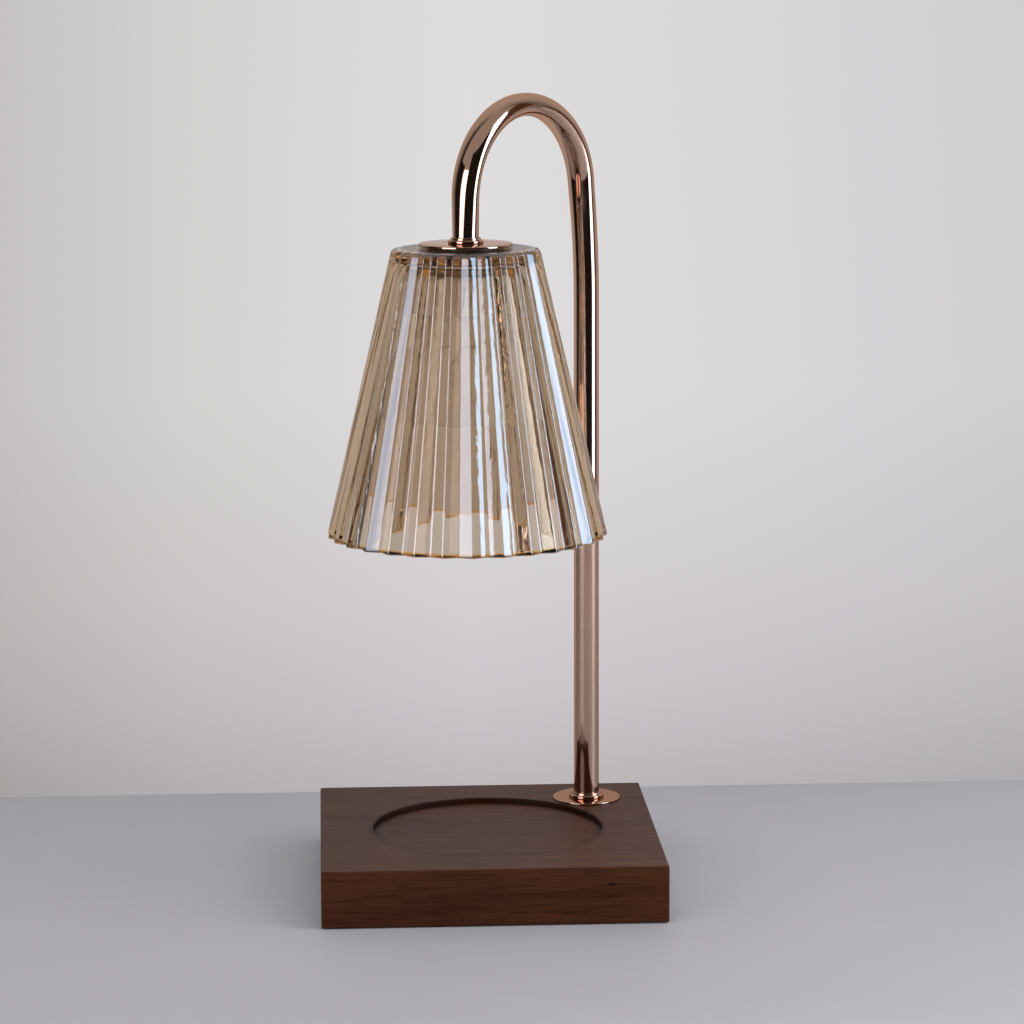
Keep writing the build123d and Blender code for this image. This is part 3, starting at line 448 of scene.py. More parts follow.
# The knot is about 6 mm long and 2 mm high, dark in the middle and fading outwards.
KNOT_X, KNOT_Z = 50.2 * MM, 17.9 * MM
KNOT_SPREAD = (350, 700, 900)
knot_place = (KNOT_X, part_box("base_block")[0].y, KNOT_Z)
to_knot = node(wood, "VectorMath", {"operation": "SUBTRACT"}, {0: place, 1: knot_place})
flattened = node(
    wood, "VectorMath", {"operation": "MULTIPLY"}, {0: to_knot.outputs[0], 1: KNOT_SPREAD}
)
from_knot = node(wood, "VectorMath", {"operation": "LENGTH"}, {0: flattened.outputs[0]})
knot_shade = node(
    wood,
    "ValToRGB",
    inputs={"Fac": from_knot.outputs["Value"]},
    stops=[(0.15, "#6A5A52"), (1.0, "#FFFFFF")],
)
knotted = node(
    wood,
    "MixRGB",
    {"blend_type": "MULTIPLY"},
    {"Fac": 1.0, "Color1": clouded.outputs["Color"], "Color2": knot_shade.outputs["Color"]},
)
# Painted shade darkens the wood in the corner of the turned seat, out to the foot of its eased
# edge.
SEAT_CENTRE = (0, -1.5 * MM, 0)
SEAT_RADIUS = 51.5 * MM
SEAT_PAINTED_SHADE = "#8A8078"
to_seat = node(wood, "VectorMath", {"operation": "SUBTRACT"}, {0: place, 1: SEAT_CENTRE})
levelled = node(
    wood, "VectorMath", {"operation": "MULTIPLY"}, {0: to_seat.outputs[0], 1: (1, 1, 0)}
)
from_seat = node(wood, "VectorMath", {"operation": "LENGTH"}, {0: levelled.outputs[0]})
# Painted shade in the recess, darker at its corner.
painted_seat_shade = node(
    wood,
    "ValToRGB",
    inputs={"Fac": from_seat.outputs["Value"]},
    stops=[
        (SEAT_RADIUS - 1.5 * MM, "#FFFFFF"),
        (SEAT_RADIUS + 0.1 * MM, "#FFFFFF"),
        (SEAT_RADIUS - 0.7 * MM, SEAT_PAINTED_SHADE),
        (SEAT_RADIUS + 0.02 * MM, SEAT_PAINTED_SHADE),
    ],
)
seat_shaded_wood = node(
    wood,
    "MixRGB",
    {"blend_type": "MULTIPLY"},
    {"Fac": 1.0, "Color1": knotted.outputs["Color"], "Color2": painted_seat_shade.outputs["Color"]},
)
sheen_map = node(
    wood,
    "MapRange",
    inputs={"Value": pores.outputs["Fac"], "To Min": 0.50, "To Max": 0.38},
)
lacquered = node(
    wood, "Bump", inputs={"Height": pores.outputs["Fac"], "Strength": 0.35, "Distance": 0.04 * MM}
)
block = node(
    wood,
    "BsdfPrincipled",
    inputs={
        "Base Color": seat_shaded_wood.outputs["Color"],
        "Roughness": sheen_map.outputs[0],
        "Normal": lacquered.outputs[0],
        "Specular IOR Level": 0.09,
    },
)
node(wood, "OutputMaterial", inputs={"Surface": block.outputs[0]})
dress(wood, "base_block")

# ---------------------------------------------------------------- underside
# Four soft rubber pads stuck to the plate, and the grommet pushed into the cord's hole in the
# block. Both are moulded in black rubber with a pebbled face, its grain about 0.6 mm, which is
# coarser than a real one so that it shows.
rubber = material("black_moulded_rubber")
place = node(rubber, "TexCoord").outputs["Object"]
pebble = node(rubber, "TexVoronoi", inputs={"Vector": place, "Scale": 1600})
dusty = node(rubber, "TexNoise", inputs={"Vector": place, "Scale": 260, "Detail": 4})
tone = node(
    rubber,
    "ValToRGB",
    inputs={"Fac": dusty.outputs["Fac"]},
    stops=[(0.3, "#1B1B1C"), (0.7, "#2A2A2B")],
)
pebbled = node(
    rubber,
    "Bump",
    inputs={"Height": pebble.outputs["Distance"], "Strength": 0.5, "Distance": 0.1 * MM},
)
shell = node(
    rubber,
    "BsdfPrincipled",
    inputs={
        "Base Color": tone.outputs["Color"],
        "Roughness": 0.75,
        "Normal": pebbled.outputs[0],
    },
)
node(rubber, "OutputMaterial", inputs={"Surface": shell.outputs[0]})
dress(rubber, "foot_pads", "cord_grommet")

# Steel plate that closes the wiring pocket, held by four screws and powder coated black, with
# the coat's slight orange peel of about 1 mm.
powder = material("black_powder_coat")
place = node(powder, "TexCoord").outputs["Object"]
peel = node(powder, "TexNoise", inputs={"Vector": place, "Scale": 900, "Detail": 2})
speck = node(
    powder,
    "ValToRGB",
    inputs={"Fac": peel.outputs["Fac"]},
    stops=[(0.4, "#161616"), (0.75, "#232323")],
)
peeled = node(
    powder, "Bump", inputs={"Height": peel.outputs["Fac"], "Strength": 0.4, "Distance": 0.1 * MM}
)
coat = node(
    powder,
    "BsdfPrincipled",
    inputs={"Base Color": speck.outputs["Color"], "Roughness": 0.45, "Normal": peeled.outputs[0]},
)
node(powder, "OutputMaterial", inputs={"Surface": coat.outputs[0]})
dress(powder, "base_cover")

# Screws, washers, nuts and hollow bushes in zinc-plated steel: a cool bright metal with faint
# turning lines, drawn 0.1 mm apart so that they show, and a passivated film mottled in patches
# of about 5 mm.
zinc = material("zinc_plated_steel")
place = node(zinc, "TexCoord").outputs["Object"]
film = node(zinc, "TexNoise", inputs={"Vector": place, "Scale": 220, "Detail": 3})
tone = node(
    zinc,
    "ValToRGB",
    inputs={"Fac": film.outputs["Fac"]},
    stops=[(0.3, "#B4B6BA"), (0.7, "#CBC9C2")],
)
worn = node(zinc, "MapRange", inputs={"Value": film.outputs["Fac"], "To Min": 0.22, "To Max": 0.4})
turning = node(zinc, "Mapping", inputs={"Vector": place, "Scale": (300, 300, 9000)})
lines = node(zinc, "TexNoise", inputs={"Vector": turning.outputs[0], "Scale": 1})
turned_face = node(
    zinc, "Bump", inputs={"Height": lines.outputs["Fac"], "Strength": 0.25, "Distance": 0.02 * MM}
)
plated = node(
    zinc,
    "BsdfPrincipled",
    inputs={
        "Base Color": tone.outputs["Color"],
        "Metallic": 1.0,
        "Roughness": worn.outputs[0],
        "Normal": turned_face.outputs[0],
    },
)
node(zinc, "OutputMaterial", inputs={"Surface": plated.outputs[0]})
dress(
    zinc,
    "cover_screws",
    "block_screw",
    "pole_nipple",
    "pole_washer",
    "spring_washer",
    "pole_nut",
    "shade_nipple",
    "shade_nut",
    "holder_screws",
)

# ---------------------------------------------------------------- wiring in the base
# Terminal block moulded in natural nylon, milky and waxy, with flow marks about 5 mm apart.
# One screw holds it in the pocket of the base.
nylon = material("natural_nylon")
place = node(nylon, "TexCoord").outputs["Object"]
flow = node(
    nylon, "TexNoise", inputs={"Vector": place, "Scale": 180, "Detail": 3, "Distortion": 1.5}
)
tone = node(
    nylon,
    "ValToRGB",
    inputs={"Fac": flow.outputs["Fac"]},
    stops=[(0.3, "#DAD5C8"), (0.7, "#EAE7DE")],
)
waxy = node(
    nylon,
    "BsdfPrincipled",
    inputs={
        "Base Color": tone.outputs["Color"],
        "Roughness": 0.42,
        "Subsurface Weight": 0.3,
        "Subsurface Scale": 1.0 * MM,
    },
)
node(nylon, "OutputMaterial", inputs={"Surface": waxy.outputs[0]})
dress(nylon, "terminal_block")

# The block's inserts and clamping screws are turned brass, dulled in small patches.
brass = material("turned_brass")
place = node(brass, "TexCoord").outputs["Object"]
tarnish = node(brass, "TexNoise", inputs={"Vector": place, "Scale": 400, "Detail": 4})
tone = node(
    brass,
    "ValToRGB",
    inputs={"Fac": tarnish.outputs["Fac"]},
    stops=[(0.3, "#B08A48"), (0.7, "#D8B56C")],
)
dulled = node(
    brass, "MapRange", inputs={"Value": tarnish.outputs["Fac"], "To Min": 0.42, "To Max": 0.24}
)
insert = node(
    brass,
    "BsdfPrincipled",
    inputs={
        "Base Color": tone.outputs["Color"],
        "Metallic": 1.0,
        "Roughness": dulled.outputs[0],
    },
)
node(brass, "OutputMaterial", inputs={"Surface": insert.outputs[0]})
dress(brass, "terminal_inserts", "terminal_screws")

# Lead sleeved in varnished glass-fibre braid, against the heat of the bulb: off-white, with
# strands about 0.5 mm wide that cross on the bias.
BIAS = 0.6
braid = material("glass_fibre_braid")
place = node(braid, "TexCoord").outputs["Object"]
strands = []
for lean in (1, -1):
    biased = node(
        braid, "Mapping", inputs={"Vector": place, "Rotation": (BIAS * lean, BIAS * lean, 0)}
    )
    strands.append(
        node(
            braid,
            "TexWave",
            {"bands_direction": "Z"},
            {"Vector": biased.outputs[0], "Scale": 600, "Distortion": 0.4},
        )
    )
crossed = node(
    braid,
    "Math",
    {"operation": "MAXIMUM"},
    {0: strands[0].outputs["Fac"], 1: strands[1].outputs["Fac"]},
)
tone = node(
    braid,
    "ValToRGB",
    inputs={"Fac": crossed.outputs[0]},
    stops=[(0.2, "#A8A08C"), (0.9, "#E6E2D6")],
)
woven = node(
    braid, "Bump", inputs={"Height": crossed.outputs[0], "Strength": 0.7, "Distance": 0.2 * MM}
)
sleeve = node(
    braid,
    "BsdfPrincipled",
    inputs={
        "Base Color": tone.outputs["Color"],
        "Roughness": 0.62,
        "Normal": woven.outputs[0],
        "Sheen Weight": 0.2,
    },
)
node(braid, "OutputMaterial", inputs={"Surface": sleeve.outputs[0]})
dress(braid, "base_lead", "arm_lead")

# The cores have a smooth extruded skin of grey silicone rubber with a faint dusty bloom.
silicone = material("grey_silicone_rubber")
place = node(silicone, "TexCoord").outputs["Object"]
bloom = node(silicone, "TexNoise", inputs={"Vector": place, "Scale": 500, "Detail": 2})
tone = node(
    silicone,
    "ValToRGB",
    inputs={"Fac": bloom.outputs["Fac"]},
    stops=[(0.3, "#8F8A84"), (0.7, "#A19C95")],
)
skin = node(
    silicone, "BsdfPrincipled", inputs={"Base Color": tone.outputs["Color"], "Roughness": 0.5}
)
node(silicone, "OutputMaterial", inputs={"Surface": skin.outputs[0]})
dress(silicone, "base_cores", "holder_cores")

# ---------------------------------------------------------------- foot of the pole
# Flange pressed from sheet steel and plated in rose gold. The polished plate is a pink
# copper-gold mirror, slightly wavy, with fine wiping marks that are drawn 1 mm apart so that
# they show.
PLATE_LIGHT = "#C8A691"
PLATE_DEEP = "#C1A08B"
rose_gold = material("polished_rose_gold_plate")
place = node(rose_gold, "TexCoord").outputs["Object"]
cast = node(rose_gold, "TexNoise", inputs={"Vector": place, "Scale": 30, "Detail": 2})
tone = node(
    rose_gold,
    "ValToRGB",
    inputs={"Fac": cast.outputs["Fac"]},
    stops=[(0.3, PLATE_DEEP), (0.7, PLATE_LIGHT)],
)
wiping = node(rose_gold, "Mapping", inputs={"Vector": place, "Scale": (900, 900, 60)})
marks = node(rose_gold, "TexNoise", inputs={"Vector": wiping.outputs[0], "Scale": 1, "Detail": 4})
polish = node(
    rose_gold,
    "MapRange",
    inputs={"Value": marks.outputs["Fac"], "To Min": 0.04, "To Max": 0.10},
)
wavy = node(
    rose_gold,
    "Bump",
    inputs={"Height": cast.outputs["Fac"], "Strength": 0.15, "Distance": 0.05 * MM},
)
mirror = node(
    rose_gold,
    "BsdfPrincipled",
    inputs={
        "Base Color": tone.outputs["Color"],
        "Metallic": 1.0,
        "Roughness": polish.outputs[0],
        "Specular Tint": linear("#DCC2B2"),
        "Normal": wavy.outputs[0],
    },
)
node(rose_gold, "OutputMaterial", inputs={"Surface": mirror.outputs[0]})


def rounded(corners, radius, steps=6):
    """Points of a closed outline whose corners are rounded by one radius."""
    points = []
    for i, corner in enumerate(corners):
        corner = Vector(corner)
        back = (Vector(corners[i - 1]) - corner).normalized()
        on = (Vector(corners[(i + 1) % len(corners)]) - corner).normalized()
        half_angle = acos(max(-1, min(1, back.dot(on)))) / 2
        centre = corner + (back + on).normalized() * radius / sin(half_angle)
        start = corner + back * radius / tan(half_angle) - centre
        end = corner + on * radius / tan(half_angle) - centre
        sweep = pi - 2 * half_angle
        for step in range(steps + 1):
            share = step / steps
            blend = start * sin((1 - share) * sweep) + end * sin(share * sweep)
            points.append(centre + blend / sin(sweep))
    return points


def rings_to_mesh(name, rings, finish, sharp=35):
    """Joins closed rings of points into a closed skin, the last ring to the first."""
    size = len(rings[0])
    faces = []
    for i in range(len(rings)):
        after = (i + 1) % len(rings)
        for j in range(size):
            beside = (j + 1) % size
            faces.append((i * size + j, i * size + beside, after * size + beside, after * size + j))
    return mesh_object(name, [p for ring in rings for p in ring], faces, finish, sharp)


def turned(name, axis, outline, finish, steps=160):
    """A ring turned round an upright axis from an outline of radius and height."""
    angles = [2 * pi * j / steps for j in range(steps)]
    rings = []
    for radius, height in outline:
        rings.append([(axis.x + radius * cos(a), axis.y + radius * sin(a), height) for a in angles])
    return rings_to_mesh(name, rings, finish)


def ring_outline(node_name, axis, hole, edge):
    """Rounded outline of a flat ring that fills the place of a CAD piece."""
    low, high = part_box(node_name)
    outer = high.x - axis.x
    square = [(hole, low.z), (outer, low.z), (outer, high.z), (hole, high.z)]
    return rounded(square, edge)


# The flange lies on the wood round the threaded bush, its edges rounded by the press.
FLANGE_HOLE = 5.08 * MM
FLANGE_EDGE = 0.3 * MM
flange_outline = ring_outline("arm_flange", pole, FLANGE_HOLE, FLANGE_EDGE)
flange = turned("flange_plate", pole, flange_outline, rose_gold)
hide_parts("arm_flange")
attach(flange, "base")

# ---------------------------------------------------------------- arm
# Collar turned from steel with two steps and pressed on the foot of the tube. It turns on the
# flange with the arm, and carries the same rose gold plate.
TUBE_RADIUS = 5.75 * MM
STEP_FOOT, STEP_TOP = 1.3 * MM, 1.5 * MM
STEP_IN, NARROWED = 1.0 * MM, 1.1 * MM
COLLAR_EDGE = 0.28 * MM


def collar_outline(node_name, axis):
    """Outline of a two-step collar round the tube that fills the place of a CAD piece."""
    low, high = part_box(node_name)
    outer = high.x - axis.x
    corners = [
        (TUBE_RADIUS, low.z),
        (outer, low.z),
        (outer, low.z + STEP_FOOT),
        (outer - STEP_IN, low.z + STEP_TOP),
        (outer - NARROWED, high.z),
        (TUBE_RADIUS, high.z),
    ]
    return rounded(corners, COLLAR_EDGE)


foot_collar = turned("foot_collar", pole, collar_outline("pole_collar", pole), rose_gold)
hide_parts("pole_collar")
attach(foot_collar, "arm")

# The bulb's joint stands on the shade's axis. The arm lies in the upright plane between that
# axis and the pole's.
shade = Vector(joints["bulb_twist"]["pos_m"])
shade.z = 0
arm_reach = (shade - pole).length
arm_direction = (shade - pole).normalized()
across_arm = Vector((0, 0, 1)).cross(arm_direction)

# Tube of drawn steel bent cold: the pole leans in gently before the bend, and the bend is
# squeezed a little oval, wider across than in its own plane.
CROWN_Z = 347.0 * MM
BEND_RADIUS = 39.9 * MM
LEAN_RADIUS = 370.0 * MM
LEAN_TURN = radians(7)
STRAIGHT_RUN = 10.0 * MM
OVAL_THIN = 5.15 * MM
OVAL_WIDE = 6.8 * MM
WALL = 1.25 * MM
TUBE_STEPS = 96
POLE_RINGS, LEAN_RINGS, RUN_RINGS, BEND_RINGS, DROP_RINGS = 30, 20, 6, 120, 12
bend_z = CROWN_Z - BEND_RADIUS
neck_z = bend_z + BEND_RADIUS * sin(LEAN_TURN)
lean_top_z = neck_z - STRAIGHT_RUN * cos(LEAN_TURN)
lean_z = lean_top_z - LEAN_RADIUS * sin(LEAN_TURN)
lean_top_out = LEAN_RADIUS * (1 - cos(LEAN_TURN))
tube_foot, tube_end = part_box("arm_tube")[0].z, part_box("shade_collar")[0].z


def tube_line():
    """Stations along the tube: distance out from the pole's axis, height and tilt."""
    stations = []
    for i in range(POLE_RINGS + 1):
        stations.append((0, tube_foot + (lean_z - tube_foot) * i / POLE_RINGS, 0))
    for i in range(1, LEAN_RINGS + 1):
        tilt = LEAN_TURN * i / LEAN_RINGS
        out = LEAN_RADIUS * (1 - cos(tilt))
        stations.append((out, lean_z + LEAN_RADIUS * sin(tilt), tilt))
    for i in range(1, RUN_RINGS + 1):
        run = STRAIGHT_RUN * i / RUN_RINGS
        out = lean_top_out + run * sin(LEAN_TURN)
        stations.append((out, lean_top_z + run * cos(LEAN_TURN), LEAN_TURN))
    neck_out = lean_top_out + STRAIGHT_RUN * sin(LEAN_TURN)
    bend_out = neck_out + BEND_RADIUS * cos(LEAN_TURN)
    for i in range(1, BEND_RINGS + 1):
        tilt = LEAN_TURN + (pi - LEAN_TURN) * i / BEND_RINGS
        out = bend_out - BEND_RADIUS * cos(tilt)
        stations.append((out, bend_z + BEND_RADIUS * sin(tilt), tilt))
    for i in range(1, DROP_RINGS + 1):
        stations.append((arm_reach, bend_z + (tube_end - bend_z) * i / DROP_RINGS, pi))
    return stations


# Where the tube starts to grow oval, and the height over which it does: up the pole, and up
# the drop from the shade.
POLE_OVAL = (bend_z - 30 * MM, 60 * MM)
DROP_OVAL = (tube_end - 4 * MM, 38 * MM)


def ovalness(height, tilt):
    """How far the tube is squeezed, from 0 where it is round to 1 in the bend."""
    start, run = POLE_OVAL if tilt < pi / 2 else DROP_OVAL
    share = max(0, min(1, (height - start) / run))
    return share * share * (3 - 2 * share)


def tube_ring(station, inset):
    """One ring of points round the tube's line."""
    out, height, tilt = station
    squeeze = ovalness(height, tilt)
    thin = TUBE_RADIUS + (OVAL_THIN - TUBE_RADIUS) * squeeze - inset
    wide = TUBE_RADIUS + (OVAL_WIDE - TUBE_RADIUS) * squeeze - inset
    centre = pole + arm_direction * out + Vector((0, 0, height))
    outwards = arm_direction * cos(tilt) - Vector((0, 0, sin(tilt)))
    angles = [2 * pi * j / TUBE_STEPS for j in range(TUBE_STEPS)]
    return [centre + outwards * cos(a) * thin + across_arm * sin(a) * wide for a in angles]


stations = tube_line()
skins = [tube_ring(s, 0) for s in stations] + [tube_ring(s, WALL) for s in reversed(stations)]
tube = rings_to_mesh("swan_neck_tube", skins, rose_gold)
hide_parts("arm_tube")
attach(tube, "arm")

# ---------------------------------------------------------------- top of the shade
# Two-step collar round the end of the tube, and the flat pressed disc below it that bears on
# the glass through a gasket. Both are steel in the same rose gold plate.
DISC_HOLE = 5.15 * MM
DISC_EDGE = 0.4 * MM
neck_collar = turned("neck_collar", shade, collar_outline("shade_collar", shade), rose_gold)
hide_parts("shade_collar")
disc_outline = ring_outline("shade_disc", shade, DISC_HOLE, DISC_EDGE)
disc = turned("shade_top_disc", shade, disc_outline, rose_gold)
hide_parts("shade_disc")
for piece in (neck_collar, disc):
    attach(piece, "arm")

# Gaskets above and below the glass, cut from dark heat-proof silicone sheet, satin and dusty.
gasket = material("dark_silicone_sheet")
place = node(gasket, "TexCoord").outputs["Object"]
dust = node(gasket, "TexNoise", inputs={"Vector": place, "Scale": 500, "Detail": 3})
matting = node(
    gasket, "MapRange", inputs={"Value": dust.outputs["Fac"], "To Min": 0.4, "To Max": 0.6}
)
tone = node(
    gasket,
    "ValToRGB",
    inputs={"Fac": dust.outputs["Fac"]},
    stops=[(0.3, "#35291F"), (0.7, "#453A31")],
)
sheet = node(
    gasket,
    "BsdfPrincipled",
    inputs={"Base Color": tone.outputs["Color"], "Roughness": matting.outputs[0]},
)
node(gasket, "OutputMaterial", inputs={"Surface": sheet.outputs[0]})
dress(gasket, "upper_gasket", "lower_gasket")

# Cup that clamps the glass from below: pressed steel with a grey phosphate skin, its grain
# drawn 0.7 mm across so that it shows.
phosphate = material("grey_phosphated_steel")
place = node(phosphate, "TexCoord").outputs["Object"]
crystals = node(phosphate, "TexVoronoi", inputs={"Vector": place, "Scale": 1500})
tone = node(
    phosphate,
    "ValToRGB",
    inputs={"Fac": crystals.outputs["Distance"]},
    stops=[(0.1, "#6E6862"), (0.8, "#88827A")],
)
grained = node(
    phosphate,
    "Bump",
    inputs={"Height": crystals.outputs["Distance"], "Strength": 0.3, "Distance": 0.03 * MM},
)
cup_skin = node(
    phosphate,
    "BsdfPrincipled",
    inputs={
        "Base Color": tone.outputs["Color"],
        "Roughness": 0.55,
        "Normal": grained.outputs[0],
    },
)
node(phosphate, "OutputMaterial", inputs={"Surface": cup_skin.outputs[0]})
dress(phosphate, "clamp_cup")

# ---------------------------------------------------------------- glass shade
# Pressed soda-lime glass with thirty V pleats, fire polished so that the ridges are round,
# and coated outside with an amber lustre, a film of metal oxide that turns the light through
# it amber and what it reflects bluish. The disc and the cup clamp it by its thick roof.
PLEATS = 30
RIDGE_PHASE = radians(6)
RIDGE_BOTTOM, RIDGE_TOP = 61.7 * MM, 32.3 * MM
FACE_TILT = radians(24)
INNER_BOTTOM, INNER_TOP = 55.8 * MM, 28.4 * MM
ROOF_THICK = 5.5 * MM
HOLE = 6.0 * MM
HOLE_ROUND = 0.4 * MM
RIM_ROUND = 1.1 * MM
SHOULDER_ROUND = 2.0 * MM
INNER_ROUND = 3.0 * MM
# The gaskets bear on a seat ground this much into the roof, above and below.
GASKET_GAP = 0.03 * MM

# The film is sixty nanometres thick, and its tint lies in streaks about 14 mm wide and 80 mm
# long. It pooled to a deeper amber in the rim and in the corner under the roof. On the roof
# itself the tint is darker and browner, a painted shade, and the surface is duller. The glass
# body is a faint amber too.
FILM_THICK = 60.0
ROOF_ROUGH = 0.3
POOLED_AMBER = "#F2BC68"
ROOF_PAINTED_SHADE = "#A88C77"
BODY_AMBER = "#F5C860"
glass = material("amber_lustre_glass")
place = node(glass, "TexCoord").outputs["Object"]
outside = node(glass, "Attribute", {"attribute_name": "outside"}).outputs["Fac"]
streak = node(glass, "Mapping", inputs={"Vector": place, "Scale": (70, 70, 12)})
uneven = node(glass, "TexNoise", inputs={"Vector": streak.outputs[0], "Scale": 1, "Detail": 2})
tone = node(
    glass,
    "ValToRGB",
    inputs={"Fac": uneven.outputs["Fac"]},
    stops=[(0.3, "#DACFBF"), (0.7, "#E3D7CA")],
)
pooled = node(glass, "Attribute", {"attribute_name": "pooled"}).outputs["Fac"]
deeper = node(
    glass,
    "MixRGB",
    inputs={"Fac": pooled, "Color1": tone.outputs["Color"], "Color2": linear(POOLED_AMBER)},
)
roof_shade_and_dulling = node(glass, "Attribute", {"attribute_name": "roof_shade_and_dulling"}).outputs["Fac"]
# Painted shade: the roof is tinted a darker brown.
roof_with_painted_shade = node(
    glass,
    "MixRGB",
    inputs={"Fac": roof_shade_and_dulling, "Color1": deeper.outputs["Color"], "Color2": linear(ROOF_PAINTED_SHADE)},
)
film = node(glass, "Math", {"operation": "MULTIPLY"}, {0: outside, 1: FILM_THICK})
dulled = node(glass, "Math", {"operation": "MULTIPLY"}, {0: roof_shade_and_dulling, 1: ROOF_ROUGH})
# Ripples along the pleats, about 2 mm wide and 25 mm long, left by the mould.
drawn = node(glass, "Mapping", inputs={"Vector": place, "Scale": (500, 500, 40)})
ripples = node(glass, "TexNoise", inputs={"Vector": drawn.outputs[0], "Scale": 1, "Detail": 2})
rippled = node(
    glass, "Bump", inputs={"Height": ripples.outputs["Fac"], "Strength": 0.3, "Distance": 0.12 * MM}
)
lustre = node(
    glass,
    "BsdfPrincipled",
    inputs={
        "Base Color": roof_with_painted_shade.outputs["Color"],
        "Roughness": dulled.outputs[0],
        "IOR": 1.52,
        "Transmission Weight": 1.0,
        "Thin Film Thickness": film.outputs[0],
        "Thin Film IOR": 1.75,
        "Normal": rippled.outputs[0],
    },
)
body_colour = node(
    glass, "VolumeAbsorption", inputs={"Color": linear(BODY_AMBER), "Density": 25.0}
)
node(
    glass,
    "OutputMaterial",
    inputs={"Surface": lustre.outputs[0], "Volume": body_colour.outputs[0]},
)


# The shares of a pleat's face that are rounded at its ridge and at its valley, and the steps
# across each part of the face and round each rounded edge.
RIDGE_SOFT, VALLEY_SOFT = 0.12, 0.16
FACE_STEPS = 5
EDGE_STEPS = 6


def pleat_height(share):
    """Height on a pleat's face between its ridge, at 0, and its valley, at 1, both rounded."""
    if share < RIDGE_SOFT:
        return 1 - RIDGE_SOFT / 2 - share * share / (2 * RIDGE_SOFT)
    if share > 1 - VALLEY_SOFT:
        return VALLEY_SOFT / 2 + (1 - share) ** 2 / (2 * VALLEY_SOFT)
    return 1 - share


# Places across half a pleat, closer together on the rounded ridge and in the valley.
straight = 1 - RIDGE_SOFT - VALLEY_SOFT
half_pleat = [RIDGE_SOFT * i / FACE_STEPS for i in range(FACE_STEPS)]
half_pleat += [RIDGE_SOFT + straight * i / FACE_STEPS for i in range(FACE_STEPS)]
half_pleat += [1 - VALLEY_SOFT * (1 - i / FACE_STEPS) for i in range(FACE_STEPS)]
half_pitch = pi / PLEATS
columns = []
for pleat in range(PLEATS):
    middle = RIDGE_PHASE + pleat * 2 * half_pitch
    columns += [(middle + share * half_pitch, pleat_height(share)) for share in half_pleat]
    columns.append((middle + half_pitch, pleat_height(1)))
    columns += [(middle + (2 - s) * half_pitch, pleat_height(s)) for s in reversed(half_pleat[1:])]
glass_foot, glass_top = (corner.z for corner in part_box("glass_shade"))
roof_under = glass_top - ROOF_THICK
glass_rings = []
lustred = []
lustre_pools = []
roof_shade_and_dulling_share = []
# Pressing leaves the walls uneven by up to this much, in waves about 15 mm long round the
# shade and 11 mm high.
UNEVEN_DEEP = 0.05 * MM
UNEVEN_ROUND, UNEVEN_UP = 4, 90


def add_ring(height, inset, kind, pool=0.0):
    """Adds a ring of the shade: pleated outside, plain inside, or plain at a given radius."""
    ring = []
    for angle, pleat in columns:
        if kind == "pleated":
            up = (height - glass_foot) / (glass_top - glass_foot)
            ridge = RIDGE_BOTTOM + (RIDGE_TOP - RIDGE_BOTTOM) * up
            deep = ridge * half_pitch * tan(FACE_TILT)
            radius = ridge - deep * (1 - RIDGE_SOFT / 2 - pleat) - inset
        elif kind == "inside":
            up = (height - glass_foot) / (roof_under - glass_foot)
            radius = INNER_BOTTOM + (INNER_TOP - INNER_BOTTOM) * up + inset
        else:
            radius = inset
        if kind != "roof":
            round_shade = (cos(angle) * UNEVEN_ROUND, sin(angle) * UNEVEN_ROUND)
            radius += noise.noise(Vector((*round_shade, height * UNEVEN_UP))) * UNEVEN_DEEP
        ring.append((shade.x + radius * cos(angle), shade.y + radius * sin(angle), height))
    glass_rings.append(ring)
    lustred.extend([1.0 if kind == "pleated" else 0.0] * len(ring))
    lustre_pools.extend([pool] * len(ring))
    roof_shade_and_dulling_share.extend([1.0 if kind == "roof" and not pool else 0.0] * len(ring))


# The rings run up the outside from the rim, over the shoulder and the roof, down through the
# hole, out under the roof and down the inside. The pooled amber ends a little above the
# rounded rim, on both faces.
ROWS = 60
POOL_EDGE = 0.4 * MM
ROOF_EDGE = RIDGE_TOP * 0.86
ROOF_MIDDLE = HOLE + 9 * MM
quarter = [pi / 2 * i / EDGE_STEPS for i in range(EDGE_STEPS + 1)]
for turn in reversed(quarter):
    add_ring(glass_foot + RIM_ROUND * (1 - sin(turn)), RIM_ROUND * (1 - cos(turn)), "pleated", 1)
wall_foot = glass_foot + RIM_ROUND
shoulder = glass_top - SHOULDER_ROUND
add_ring(wall_foot + POOL_EDGE, 0, "pleated")
for i in range(1, ROWS):
    add_ring(wall_foot + (shoulder - wall_foot) * i / ROWS, 0, "pleated")
for turn in quarter:
    add_ring(shoulder + SHOULDER_ROUND * sin(turn), SHOULDER_ROUND * (1 - cos(turn)), "pleated")
roof_top, roof_floor = glass_top - GASKET_GAP, roof_under + GASKET_GAP
add_ring(roof_top, ROOF_EDGE, "roof")
add_ring(roof_top, ROOF_MIDDLE, "roof")
for turn in quarter:
    add_ring(roof_top - HOLE_ROUND * (1 - cos(turn)), HOLE + HOLE_ROUND * (1 - sin(turn)), "roof")
for turn in reversed(quarter):
    add_ring(roof_floor + HOLE_ROUND * (1 - cos(turn)), HOLE + HOLE_ROUND * (1 - sin(turn)), "roof")
add_ring(roof_floor, ROOF_MIDDLE, "roof")
for turn in reversed(quarter):
    radius = INNER_TOP - INNER_ROUND * (1 - cos(turn))
    add_ring(roof_under - INNER_ROUND * (1 - sin(turn)), radius, "roof", 1)
inner_top = roof_under - INNER_ROUND
for i in range(1, ROWS):
    add_ring(inner_top - (inner_top - wall_foot) * i / ROWS, 0, "inside")
add_ring(wall_foot + POOL_EDGE, 0, "inside")
